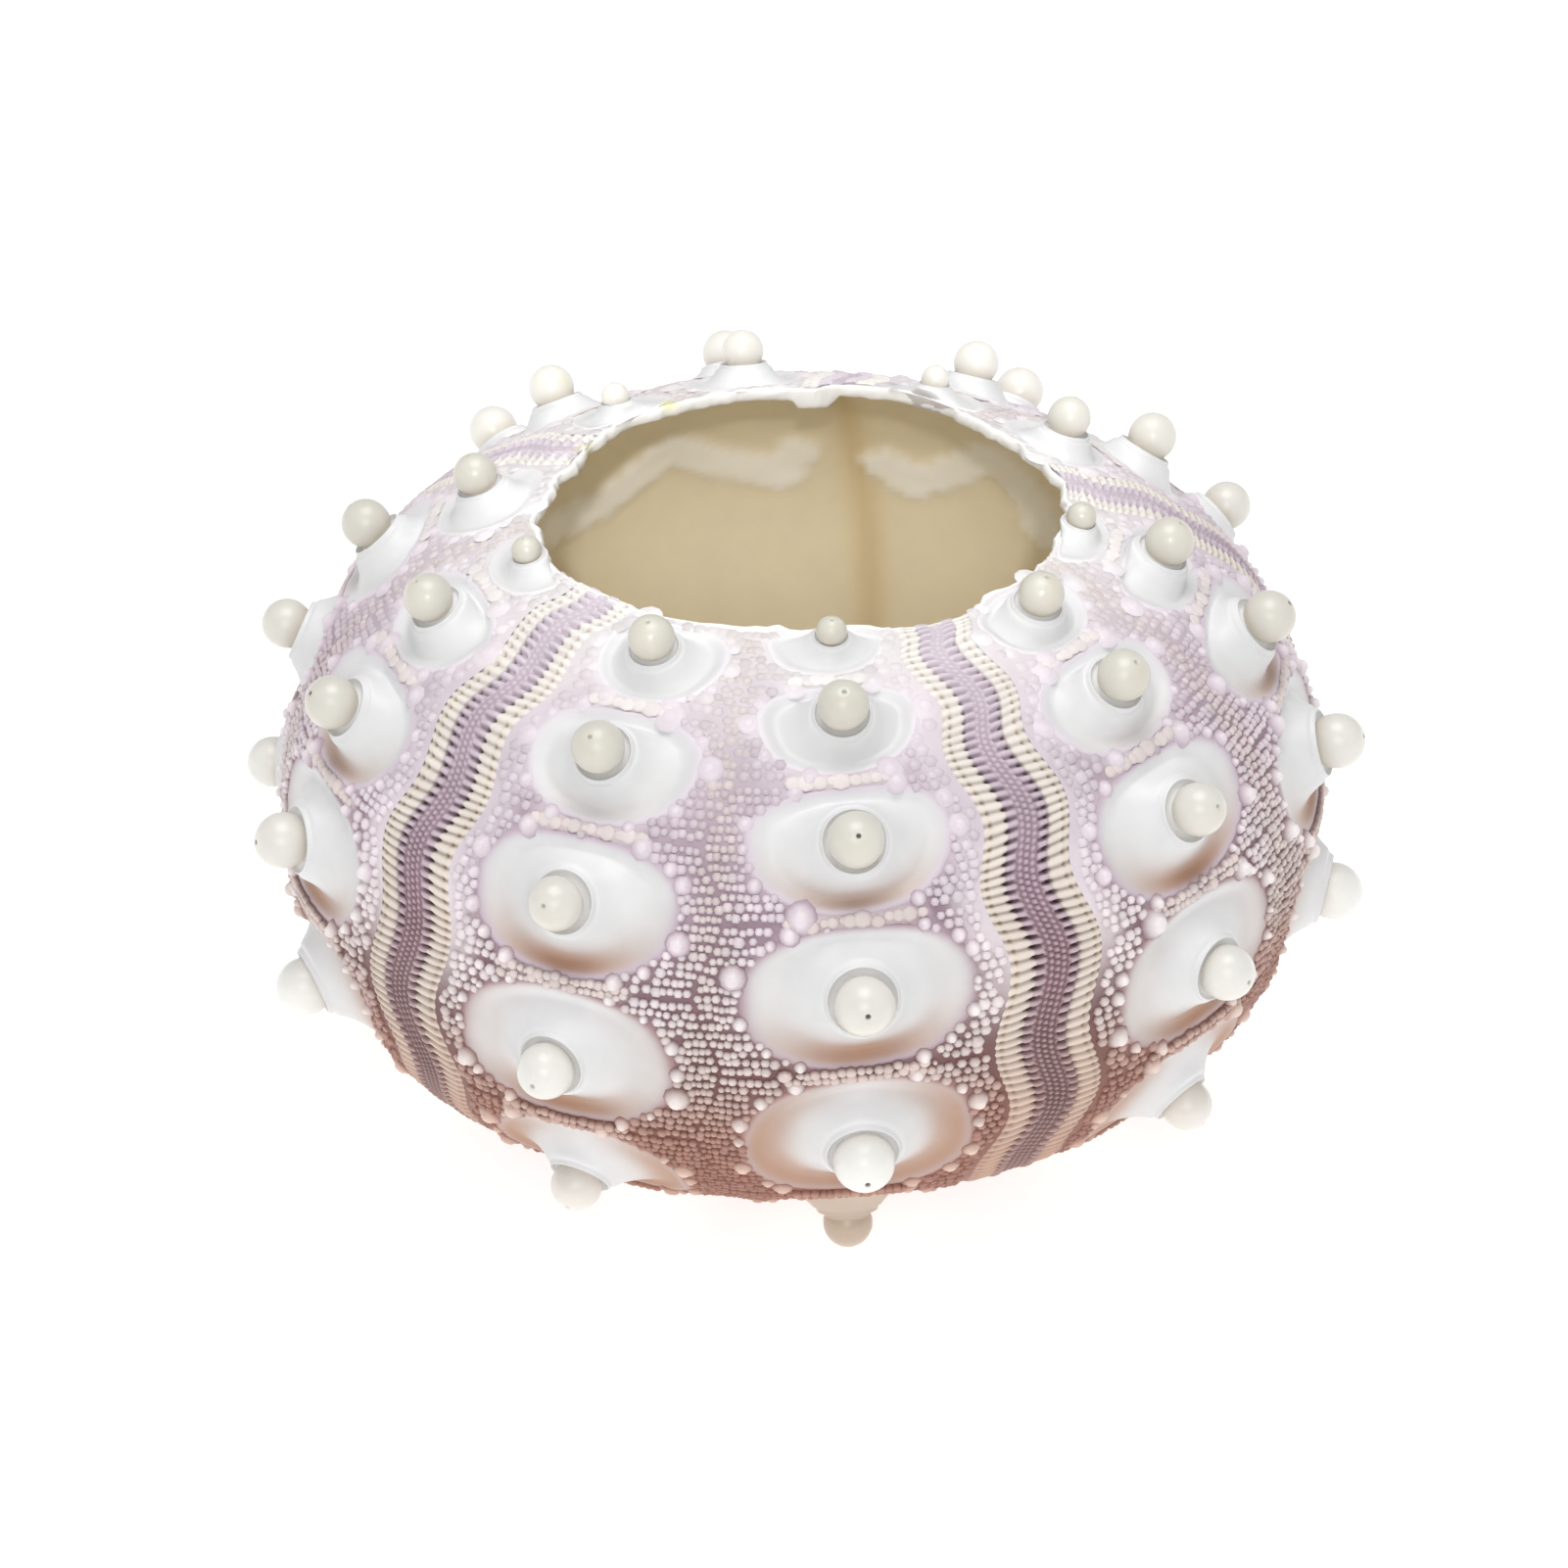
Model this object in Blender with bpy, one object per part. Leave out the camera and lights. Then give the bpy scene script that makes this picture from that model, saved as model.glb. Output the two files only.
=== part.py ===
"""Sea urchin shell: the empty test of a round urchin, open at the crown and at the mouth.

One grown piece. Five wide bands of bosses, each boss a ball on a cone in an oval basin, alternate
with five narrow winding bands that hold the pores.

Lengths are in millimetres until the mesh is written in metres. A place on the wall is given by its
azimuth, in radians from -Y towards +X, and its depth, the arc length down the meridian from the
crown rim. Height is measured along the outward normal of the wall.
"""
import math
from collections import namedtuple

import bpy
import numpy as np
from mathutils import Vector
from mathutils.geometry import delaunay_2d_cdt

MM = 0.001
NODE = "urchin_shell"

# Body of the shell
TEST_RADIUS = 36.3
CROWN_RISE = 23.2
BASE_DROP = 18.4
CROWN_POWERS = (0.605, 1.03)
BASE_POWERS = (0.415, 0.90)
CROWN_RIM_RADIUS = 17.4
MOUTH_RIM_RADIUS = 14.0
MOUTH_TUCK = 2.4
MOUTH_TUCK_RADIUS = 25.0
WALL = 1.75
WALL_AT_RIM = 1.25
RIM_TAPER_DEPTH = 6.0

# The test grew with its rows a little higher on the +X side
LEAN = 1.35
LEAN_REACH = 22.0
LEAN_END = 54.0

# Depth of the broken crown rim, by azimuth in degrees
RIM_BREAK_AZIMUTH = (-180, -166, -138, -115, -98, -82, -60, -46, -30, -10, 10, 22, 33, 45, 62, 78,
                     98, 112, 128, 146, 158, 166, 171, 175, 180)
RIM_BREAK_DEPTH = (-1.0, -0.7, -0.4, -1.0, -0.6, 0.6, 0.9, 0.5, 0.5, 0.1, 0.2, 1.1, 1.4, 0.6, 0.8, 0.5,
                   0.9, -0.1, -0.5, 0.3, 0.9, 1.0, 0.6, -0.9, -1.0)
RIM_BREAK_REACH = 3.4

# Bands
BANDS = 5
FIRST_BAND_AZIMUTH = math.radians(-10.06)
COLUMN_OFFSET = math.radians(15.7)
PORE_BAND_HALF_WIDTH = 2.35
PORE_BAND_SWELL = 0.85
PORE_BAND_SWING = 0.32
PORE_BAND_SWING_SWELL = 0.34
PORE_FURROW_AT = 0.60
PORE_FURROW_DROP = 0.45
MEDIAN_DROP = 0.30

# Bosses of the left and right column of a band, from crown to mouth:
# depth of the centre and radius of the ball on top
LEFT_BOSSES = ((3.9, 1.50), (11.6, 1.70), (20.9, 1.75), (31.8, 1.83), (43.1, 1.70), (54.8, 0.95),
               (61.2, 0.65))
RIGHT_BOSSES = ((1.6, 1.00), (8.1, 1.63), (16.4, 1.78), (26.1, 1.90), (37.4, 1.98), (51.0, 1.65),
                (59.0, 0.80))
COLUMN_START = (0.1, -0.2)
COLUMN_END = (64.2, 64.2)
BASIN_RIDGE = 0.55
BASIN_OUTER_SHARE = 0.77
BASIN_INNER_SHARE = 0.76
BASIN_POWER = 2.3
BASIN_DROP = 0.50
BASIN_TROUGH_AT = 0.86

# Shape of a boss, in ball radii. The balls sit deeper in their cones from the flank down.
BALL_CENTRE = (1.02, 0.74)
BALL_CENTRE_DEPTH = (20.0, 37.0)
NECK_RADIUS = 0.75
NECK_HEIGHT = 0.36
PLATFORM_RADIUS = 1.25
PLATFORM_HEIGHT = 0.32
SHOULDER_RADIUS = 0.70
SHOULDER_RISE = 0.714
TIP_RADIUS = 0.36
TIP_RISE = 0.94

# Balls smaller than this, in millimetres, are plain knobs: height above the wall and radius of each
# ring, in ball radii
SMALL_BALL = 1.25
SMALL_BALL_RINGS = ((0.15, 1.10), (0.95, 0.95), (1.61, 0.50))

# The shell stands on the second last balls of the right columns, which point straight down and
# are worn flat in one plane, all but one: under the -X side that boss is small and nearer the mouth
STAND_ROW = 5
STAND_PLANE = -18.9
STAND_FLAT_RADIUS = 0.55
STAND_FLAT_RISE = 0.835
ODD_BAND = 4
ODD_BOSS = (54.0, 1.05)

# Mesh steps
BASIN_POINTS = 12
BALL_POINTS = 8
SMALL_BASIN_POINTS = 8
SMALL_BALL_POINTS = 6
BAND_ROWS = 21
EDGE_POINTS = 5
INNER_COLUMNS = 36
INNER_ROWS = 8


def meridian():
    """Depth, radius and rise of the outer wall along one meridian, crown first."""
    angle = np.radians(np.linspace(82.0, -87.0, 8001))
    upper = angle > 0
    cosine = np.cos(angle)
    sine = np.abs(np.sin(angle))
    radius = TEST_RADIUS * np.where(upper, cosine ** CROWN_POWERS[0], cosine ** BASE_POWERS[0])
    rise = np.where(upper, CROWN_RISE * sine ** CROWN_POWERS[1], -BASE_DROP * sine ** BASE_POWERS[1])
    inside = np.clip((MOUTH_TUCK_RADIUS - radius) / (MOUTH_TUCK_RADIUS - MOUTH_RIM_RADIUS), 0, None)
    rise = rise + np.where(upper, 0.0, MOUTH_TUCK * inside ** 2)
    depth = np.r_[0, np.cumsum(np.hypot(np.diff(radius), np.diff(rise)))]
    crown = np.interp(CROWN_RIM_RADIUS, radius[upper], depth[upper])
    mouth = np.interp(-MOUTH_RIM_RADIUS, -radius[~upper], depth[~upper])
    return depth - crown, radius, rise, mouth - crown


DEPTHS, RADII, RISES, MOUTH_DEPTH = meridian()


def radius_at(depth):
    return float(np.interp(depth, DEPTHS, RADII))


def lean_and_break(azimuth, depth):
    """Depth on the real shell of a place on the even one."""
    near_crown = min(1.0, max(0.0, depth / LEAN_REACH))
    near_mouth = min(1.0, max(0.0, (LEAN_END - depth) / LEAN_REACH))
    share = near_crown * (2 - near_crown) * near_mouth * (2 - near_mouth)
    degrees = math.degrees(azimuth + math.pi) % 360.0 - 180.0
    broken = float(np.interp(degrees, RIM_BREAK_AZIMUTH, RIM_BREAK_DEPTH))
    fade = min(1.0, max(0.0, 1 - depth / RIM_BREAK_REACH)) ** 2
    return depth - LEAN * math.sin(azimuth) * share + broken * fade


def wall_frame(azimuth, depth):
    """Point on the outer wall with its directions along azimuth, down the meridian and outward."""
    real = lean_and_break(azimuth, depth)
    step = 0.05
    radius = radius_at(real)
    rise = float(np.interp(real, DEPTHS, RISES))
    slope = np.array([radius_at(real + step) - radius_at(real - step),
                      float(np.interp(real + step, DEPTHS, RISES) - np.interp(real - step, DEPTHS, RISES))])
    slope /= np.linalg.norm(slope)
    outward = np.array([math.sin(azimuth), -math.cos(azimuth), 0.0])
    up = np.array([0.0, 0.0, 1.0])
    point = radius * outward + rise * up
    across = np.array([math.cos(azimuth), math.sin(azimuth), 0.0])
    down = slope[0] * outward + slope[1] * up
    normal = -slope[1] * outward + slope[0] * up
    return point, across, down, normal


def wall_point(azimuth, depth, height=0.0):
    point, _, _, normal = wall_frame(azimuth, depth)
    return point + height * normal


def swing_at(depth):
    """Sideways shift of a pore band, which winds between the bosses on its two sides."""
    stops = [(d, 1.0) for d, _ in RIGHT_BOSSES] + [(d, -1.0) for d, _ in LEFT_BOSSES]
    stops.sort()
    places = [d for d, _ in stops]
    sides = [side for _, side in stops]
    index = int(np.clip(np.searchsorted(places, depth) - 1, 0, len(places) - 2))
    part = (depth - places[index]) / (places[index + 1] - places[index])
    part = min(1.0, max(0.0, part))
    ease = 0.5 - 0.5 * math.cos(math.pi * part)
    side = sides[index] + (sides[index + 1] - sides[index]) * ease
    reach = PORE_BAND_SWING + PORE_BAND_SWING_SWELL * math.sin(math.pi * depth / MOUTH_DEPTH)
    return side * reach


def half_width_at(depth):
    return PORE_BAND_HALF_WIDTH + PORE_BAND_SWELL * math.sin(math.pi * depth / MOUTH_DEPTH)


# A boss: its side of the band, depth, ball radius, whether the shell stands on it, and how far its
# basin reaches toward the pores, toward the middle of the band, up and down
Boss = namedtuple("Boss", "side depth ball stands outer inner above below")


def boss_list(band):
    """Every boss of one band."""
    bosses = []
    for side, column, start, end in zip((-1, 1), (LEFT_BOSSES, RIGHT_BOSSES), COLUMN_START, COLUMN_END):
        column = list(column)
        if side == 1 and band == ODD_BAND:
            column[STAND_ROW] = ODD_BOSS
        centres = [depth for depth, _ in column]
        joins = [start] + [(a + b) / 2 for a, b in zip(centres, centres[1:])] + [end]
        for row, (depth, ball) in enumerate(column):
            radius = radius_at(depth)
            spare = (math.pi / BANDS - COLUMN_OFFSET) * radius - half_width_at(depth)
            bosses.append(Boss(
                side, depth, ball,
                stands=side == 1 and row == STAND_ROW and band != ODD_BAND,
                outer=BASIN_OUTER_SHARE * spare,
                inner=BASIN_INNER_SHARE * COLUMN_OFFSET * radius,
                above=depth - joins[row] - BASIN_RIDGE,
                below=joins[row + 1] - depth - BASIN_RIDGE))
    return bosses


def basin_place(boss, angle, share):
    """Azimuth from the middle of the band and depth, on the basin outline scaled by share."""
    cosine = math.cos(angle)
    sine = math.sin(angle)
    size = (abs(cosine) ** BASIN_POWER + abs(sine) ** BASIN_POWER) ** (-1 / BASIN_POWER)
    toward_pores = cosine * boss.side > 0
    across = share * size * cosine * (boss.outer if toward_pores else boss.inner)
    place = boss.depth + share * size * sine * (boss.below if sine > 0 else boss.above)
    return boss.side * COLUMN_OFFSET + across / radius_at(place), place


class Shell:
    """Collects points and faces of the one closed body."""

    def __init__(self):
        self.points = []
        self.faces = []
        self.known = {}

    def add(self, point):
        self.points.append(np.asarray(point, dtype=float))
        return len(self.points) - 1

    def add_shared(self, azimuth, depth, height):
        """Index of a wall point that neighbouring bands share."""
        key = (round(math.degrees(azimuth) % 360.0, 3) % 360.0, round(depth, 4))
        if key not in self.known:
            self.known[key] = self.add(wall_point(azimuth, depth, height))
        return self.known[key]

    def join_rings(self, outer, outer_angles, inner, inner_angles):
        """Triangles between two closed rings whose angles both rise once round."""
        i = 0
        j = 0
        count_outer = len(outer)
        count_inner = len(inner)
        while i < count_outer or j < count_inner:
            next_outer = outer_angles[(i + 1) % count_outer] + 2 * math.pi * ((i + 1) // count_outer)
            next_inner = inner_angles[(j + 1) % count_inner] + 2 * math.pi * ((j + 1) // count_inner)
            here_outer = outer[i % count_outer]
            here_inner = inner[j % count_inner]
            if j >= count_inner or (i < count_outer and next_outer <= next_inner):
                self.faces.append((here_outer, here_inner, outer[(i + 1) % count_outer]))
                i += 1
            else:
                self.faces.append((here_outer, here_inner, inner[(j + 1) % count_inner]))
                j += 1


def ring_angles(count, start=0.0):
    return [2 * math.pi * (k + start) / count for k in range(count)]


def ball_rings(band_azimuth, boss):
    """Centre, two directions and radius of each ring of a boss above its basin, outermost first."""
    azimuth = band_azimuth + boss.side * COLUMN_OFFSET
    point, across, down, normal = wall_frame(azimuth, boss.depth)
    ball = boss.ball
    if ball < SMALL_BALL:
        return [(point + height * ball * normal, across, down, radius * ball)
                for height, radius in SMALL_BALL_RINGS]
    centre = point + float(np.interp(boss.depth, BALL_CENTRE_DEPTH, BALL_CENTRE)) * ball * normal
    rings = [(point + PLATFORM_HEIGHT * ball * normal, across, down, PLATFORM_RADIUS * ball),
             (point + NECK_HEIGHT * ball * normal, across, down, NECK_RADIUS * ball)]
    profile = [(0.0, 1.0), (SHOULDER_RISE, SHOULDER_RADIUS), (TIP_RISE, TIP_RADIUS)]
    if boss.stands:
        centre[2] = STAND_PLANE + STAND_FLAT_RISE * ball
        normal = np.array([0.0, 0.0, -1.0])
        down = np.cross(across, normal)
        profile = [(0.0, 1.0), (STAND_FLAT_RISE, STAND_FLAT_RADIUS)]
    for rise, reach in profile:
        rings.append((centre + rise * ball * normal, across, down, reach * ball))
    return rings


def add_boss(shell, band_azimuth, boss, rim, rim_angles):
    """Basin, cone, neck and ball inside the basin outline whose points are given."""
    last = rim
    last_angles = rim_angles
    trough = []
    for angle in rim_angles:
        offset, place = basin_place(boss, angle, BASIN_TROUGH_AT)
        trough.append(shell.add(wall_point(band_azimuth + offset, place, -BASIN_DROP * boss.ball)))
    shell.join_rings(last, last_angles, trough, rim_angles)
    last = trough
    angles = ring_angles(SMALL_BALL_POINTS if boss.ball < SMALL_BALL else BALL_POINTS)
    for centre, across, down, radius in ball_rings(band_azimuth, boss):
        ring = [shell.add(centre + radius * (math.cos(angle) * across + math.sin(angle) * down))
                for angle in angles]
        shell.join_rings(last, last_angles, ring, angles)
        last = ring
        last_angles = angles
    shell.faces.append(tuple(reversed(last)))


def add_band(shell, band_azimuth, bosses):
    """One wide band with half of the pore band on each side, from rim to rim."""
    chart = []
    indices = []
    edges = []

    def put(azimuth, depth, height, shared=False):
        chart.append(Vector((azimuth * radius_at(depth), depth)))
        if shared:
            indices.append(shell.add_shared(band_azimuth + azimuth, depth, height))
        else:
            indices.append(shell.add(wall_point(band_azimuth + azimuth, depth, height)))
        return len(chart) - 1

    def link(chain, closed=False):
        edges.extend(zip(chain, chain[1:]))
        if closed:
            edges.append((chain[-1], chain[0]))

    rows = [MOUTH_DEPTH * k / BAND_ROWS for k in range(BAND_ROWS + 1)]
    top = []
    bottom = []
    for side in (-1, 1):
        for share, height in ((0.0, 0.0), (PORE_FURROW_AT, -PORE_FURROW_DROP), (1.0, 0.0)):
            chain = []
            for depth in rows:
                shift = swing_at(depth) - side * share * half_width_at(depth)
                azimuth = side * math.pi / BANDS + shift / radius_at(depth)
                chain.append(put(azimuth, depth, height, shared=share == 0.0))
            link(chain)
            top.append(chain[0])
            bottom.append(chain[-1])
    for border, depth in ((top, 0.0), (bottom, MOUTH_DEPTH)):
        left = max(chart[k].x for k in border if chart[k].x < 0)
        right = min(chart[k].x for k in border if chart[k].x > 0)
        for k in range(1, EDGE_POINTS):
            across = left + (right - left) * k / EDGE_POINTS
            border.append(put(across / radius_at(depth), depth, 0.0))
        border.sort(key=lambda k: chart[k].x)
        link(border)

    loops = []
    for boss in bosses:
        angles = ring_angles(SMALL_BASIN_POINTS if boss.ball < SMALL_BALL else BASIN_POINTS, 0.5)
        loop = [put(*basin_place(boss, angle, 1.0), 0.0) for angle in angles]
        link(loop, closed=True)
        loops.append((boss, loop, angles))

    ordered = sorted(bosses, key=lambda boss: boss.depth)
    for upper, lower in zip(ordered, ordered[1:]):
        put(0.0, (upper.depth + lower.depth) / 2, -MEDIAN_DROP)

    verts, _, faces, sources, _, _ = delaunay_2d_cdt(chart, edges, [], 0, 1e-5)
    if len(verts) != len(chart):
        raise RuntimeError(f"band outline crosses itself: {len(chart)} points in, {len(verts)} out")
    left_line = [(chart[k].y, chart[k].x) for k in range(0, BAND_ROWS + 1)]
    right_line = [(chart[k].y, chart[k].x) for k in range(3 * (BAND_ROWS + 1), 4 * (BAND_ROWS + 1))]
    loop_sets = [set(loop) for _, loop, _ in loops]
    for face in faces:
        corners = [sources[v][0] for v in face]
        centre = sum((chart[c] for c in corners), Vector((0.0, 0.0))) / 3
        left = np.interp(centre.y, *zip(*left_line))
        right = np.interp(centre.y, *zip(*right_line))
        if not left < centre.x < right:
            continue
        if any(loop.issuperset(corners) for loop in loop_sets):
            continue
        a, b, c = corners
        turn = (chart[b] - chart[a]).cross(chart[c] - chart[a])
        # Depth runs downward, so a turn that is positive in the chart faces inward on the shell
        order = (a, c, b) if turn > 0 else (a, b, c)
        shell.faces.append(tuple(indices[k] for k in order))

    for boss, loop, angles in loops:
        add_boss(shell, band_azimuth, boss, [indices[k] for k in loop], angles)
    return [indices[k] for k in top], [indices[k] for k in bottom]


def add_inside(shell, crown_rim, mouth_rim):
    """Smooth inner wall, and the two rims that join it to the outer one."""
    azimuths = [2 * math.pi * k / INNER_COLUMNS for k in range(INNER_COLUMNS)]
    rings = []
    for row in range(INNER_ROWS + 1):
        depth = MOUTH_DEPTH * row / INNER_ROWS
        from_rim = min(depth, MOUTH_DEPTH - depth)
        wall = WALL_AT_RIM + (WALL - WALL_AT_RIM) * min(1.0, from_rim / RIM_TAPER_DEPTH)
        rings.append([shell.add(wall_point(azimuth, depth, -wall)) for azimuth in azimuths])

    def azimuth_of(index):
        x, y, _ = shell.points[index]
        return math.atan2(x, -y) % (2 * math.pi)

    for upper, lower in zip(rings, rings[1:]):
        for k in range(INNER_COLUMNS):
            nxt = (k + 1) % INNER_COLUMNS
            shell.faces.append((upper[k], upper[nxt], lower[nxt], lower[k]))
    crown = sorted(set(crown_rim), key=azimuth_of)
    mouth = sorted(set(mouth_rim), key=azimuth_of)
    crown_angles = [azimuth_of(k) for k in crown]
    mouth_angles = [azimuth_of(k) for k in mouth]
    shell.join_rings(rings[0], azimuths, crown, crown_angles)
    shell.join_rings(mouth, mouth_angles, rings[-1], azimuths)


def place_on_base(points):
    """Move the middle of the base to the origin."""
    points = np.array(points)
    low = points.min(axis=0)
    high = points.max(axis=0)
    shift = np.array([-(low[0] + high[0]) / 2, -(low[1] + high[1]) / 2, -low[2]])
    print("axis of the shell and height of its widest ring, mm:", np.round(shift, 3))
    return points + shift


def make_material():
    material = bpy.data.materials.new("shell_calcite")
    material.use_nodes = True
    shader = material.node_tree.nodes["Principled BSDF"]
    shader.inputs["Base Color"].default_value = (0.78, 0.74, 0.78, 1.0)
    shader.inputs["Roughness"].default_value = 0.5
    return material


def main():
    for old in list(bpy.data.objects):
        bpy.data.objects.remove(old, do_unlink=True)
    shell = Shell()
    crown_rim = []
    mouth_rim = []
    for band in range(BANDS):
        azimuth = FIRST_BAND_AZIMUTH + 2 * math.pi * band / BANDS
        top, bottom = add_band(shell, azimuth, boss_list(band))
        crown_rim += top
        mouth_rim += bottom
    add_inside(shell, crown_rim, mouth_rim)
    points = place_on_base(shell.points)
    mesh = bpy.data.meshes.new(NODE)
    mesh.from_pydata([tuple(p * MM) for p in points], [], shell.faces)
    mesh.validate()
    mesh.materials.append(make_material())
    body = bpy.data.objects.new(NODE, mesh)
    bpy.context.scene.collection.objects.link(body)
    mesh.calc_loop_triangles()
    print("triangles:", len(mesh.loop_triangles))


main()
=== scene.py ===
"""Looks of the sea urchin shell: grains, ribs, pores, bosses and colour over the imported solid.

Lengths are in millimetres until a mesh is written in metres. A place on the wall is given by its
azimuth, in radians from -Y towards +X, and its depth, the arc length down the meridian from the
crown rim. Height is measured along the outward normal. The numbers that shape the wall, the bands
and the bosses are those of the solid. Colours are 8-bit display values by depth.
"""

import math
from collections import namedtuple

import bpy
import numpy as np
from mathutils import Matrix, Vector


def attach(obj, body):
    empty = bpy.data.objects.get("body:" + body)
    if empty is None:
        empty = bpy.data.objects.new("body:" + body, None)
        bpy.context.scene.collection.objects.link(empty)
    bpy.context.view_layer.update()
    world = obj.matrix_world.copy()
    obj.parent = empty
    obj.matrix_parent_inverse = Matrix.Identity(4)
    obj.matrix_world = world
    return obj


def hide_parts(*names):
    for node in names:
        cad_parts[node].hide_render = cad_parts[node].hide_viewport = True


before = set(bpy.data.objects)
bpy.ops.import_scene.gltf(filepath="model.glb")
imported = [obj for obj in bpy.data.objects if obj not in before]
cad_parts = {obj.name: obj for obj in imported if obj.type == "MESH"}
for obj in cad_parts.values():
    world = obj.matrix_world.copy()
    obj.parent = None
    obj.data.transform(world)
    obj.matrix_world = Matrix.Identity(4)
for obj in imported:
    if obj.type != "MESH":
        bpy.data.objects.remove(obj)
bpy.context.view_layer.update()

MM = 0.001
RANDOM = np.random.default_rng(11)

# Axis of the shell and height of its widest ring in the row frame
AXIS = np.array([0.348, -0.020, 18.900])

# Body of the shell
TEST_RADIUS = 36.3
CROWN_RISE = 23.2
BASE_DROP = 18.4
CROWN_POWERS = (0.605, 1.03)
BASE_POWERS = (0.415, 0.90)
CROWN_RIM_RADIUS = 17.4
MOUTH_RIM_RADIUS = 14.0
MOUTH_TUCK = 2.4
MOUTH_TUCK_RADIUS = 25.0
WALL = 1.75
WALL_AT_RIM = 1.25
RIM_TAPER_DEPTH = 6.0
LEAN = 1.35
LEAN_REACH = 22.0
LEAN_END = 54.0
MERIDIAN_DEGREES = (82.0, -87.0)
MERIDIAN_STEPS = 8001
WALL_STEP = 0.05
RIM_BREAK_AZIMUTH = (-180, -166, -138, -115, -98, -82, -60, -46, -30, -10, 10, 22, 33, 45, 62, 78,
                     98, 112, 128, 146, 158, 166, 171, 175, 180)
RIM_BREAK_DEPTH = (-1.0, -0.7, -0.4, -1.0, -0.6, 0.6, 0.9, 0.5, 0.5, 0.1, 0.2, 1.1, 1.4, 0.6, 0.8, 0.5,
                   0.9, -0.1, -0.5, 0.3, 0.9, 1.0, 0.6, -0.9, -1.0)
RIM_BREAK_REACH = 3.4

# Bands
BANDS = 5
FIRST_BAND_AZIMUTH = math.radians(-10.06)
COLUMN_OFFSET = math.radians(15.7)
PORE_BAND_HALF_WIDTH = 2.35
PORE_BAND_SWELL = 0.85
PORE_BAND_SWING = 0.32
PORE_BAND_SWING_SWELL = 0.34
RIB_REACH = 1.14

# Bosses: depth of the centre and radius of the ball, from crown to mouth
LEFT_BOSSES = ((3.9, 1.50), (11.6, 1.70), (20.9, 1.75), (31.8, 1.83), (43.1, 1.70), (54.8, 0.95),
               (61.2, 0.65))
RIGHT_BOSSES = ((1.6, 1.00), (8.1, 1.63), (16.4, 1.78), (26.1, 1.90), (37.4, 1.98), (51.0, 1.65),
                (59.0, 0.80))
COLUMN_START = (0.1, -0.2)
COLUMN_END = (64.2, 64.2)
BASIN_RIDGE = 0.55
BASIN_OUTER_SHARE = 0.77
BASIN_INNER_SHARE = 0.76
BASIN_POWER = 2.3
SMALL_BALL = 1.25
SMALL_BALL_RISE = 0.78
NECK_RISE = 0.28
STAND_ROW = 5
STAND_PLANE = -18.9
STAND_FLAT_RISE = 0.835
ODD_BAND = 4
ODD_BOSS = (54.0, 1.05)
BALL_CENTRE = (1.02, 0.74)
BALL_CENTRE_DEPTH = (20.0, 37.0)

# The ridges between basins carry one row of lumps above this depth and two rows of beads below it
ROPE_SPLIT = 26.0

# Radii of the beads beside the basins and, as radius and lanes, of those on the ridges
LARGE_BEAD = 0.60
SMALL_BEAD = 0.36
BEAD_SPREAD = math.radians(62)
BEAD_PAIR_SPACING = 3.5
ROPE_ABOVE = (0.42, (0.0,))
ROPE_BELOW = (0.30, (-0.24, 0.24))
ROPE_STEP = 1.7
ROPE_REACH = 0.66
ROPE_LIFT = 0.12
RIDGE_RISE = 0.14

# Grains: radius over the sum of the two spacings, rows by depth, the gap where plates join, and the
# furrow down the middle of the band
GRAIN_SHARE = 0.265
GRAIN_ROW_DEPTH = (0, 8, 14, 19, 27, 32, 39, 44)
GRAIN_ROW_SPACING = (0.82, 0.76, 0.64, 0.58, 0.64, 0.64, 0.57, 0.53)
PLATE_GAP = 0.3
FURROW_DEPTH = 0.12
FURROW_WIDTH = 1.6

# Mesh steps
RIB_SPACING = 0.66
FINE_SPACING = 0.46
RIB_STEPS = 6
PORE_COLUMNS = 57
BOSS_POINTS = 38
SMALL_BOSS_POINTS = 24
BALL_POINTS = 26
GROUND_ROWS = 124
GROUND_COLUMNS = 66
INSIDE_COLUMNS = 300
INSIDE_MARGIN = 0.7

# Height of the ground between the grains, and of the sunken ground under a basin
GROUND = -0.42
UNDER_BASIN = -1.35

# Share of full relief, by depth: the grains near the crown are worn low
RELIEF_DEPTH = (0, 6, 12, 18, 24, 36, 42, 64)
RELIEF = (0.20, 0.26, 0.40, 0.72, 1.0, 1.0, 0.55, 0.5)

# Colours
CREVICE = ((0, (214, 208, 209)), (6, (213, 203, 208)), (11, (196, 181, 191)), (15, (182, 165, 176)),
           (19, (164, 142, 154)), (23, (149, 123, 134)), (27, (132, 102, 108)), (31, (110, 73, 72)),
           (35, (118, 74, 64)), (39, (128, 80, 66)), (44, (138, 86, 72)), (64, (150, 104, 88)))
GRAIN = ((0, (224, 220, 219)), (6, (226, 218, 221)), (11, (217, 206, 213)), (15, (214, 202, 210)),
         (19, (222, 211, 218)), (24, (234, 224, 228)), (28, (238, 228, 228)), (32, (223, 207, 203)),
         (35, (200, 168, 158)), (38, (178, 136, 122)), (42, (160, 112, 96)), (64, (170, 122, 104)))
BEAD = ((0, (241, 237, 237)), (10, (228, 217, 224)), (22, (233, 222, 228)), (28, (242, 235, 235)),
        (34, (240, 228, 224)), (40, (226, 196, 180)), (50, (200, 160, 142)), (64, (200, 165, 145)))
AREOLE = ((0, (240, 237, 238)), (8, (230, 222, 228)), (14, (217, 204, 215)), (20, (196, 176, 191)),
          (25, (180, 156, 168)), (30, (166, 134, 136)), (38, (158, 113, 100)), (64, (164, 118, 100)))
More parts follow.
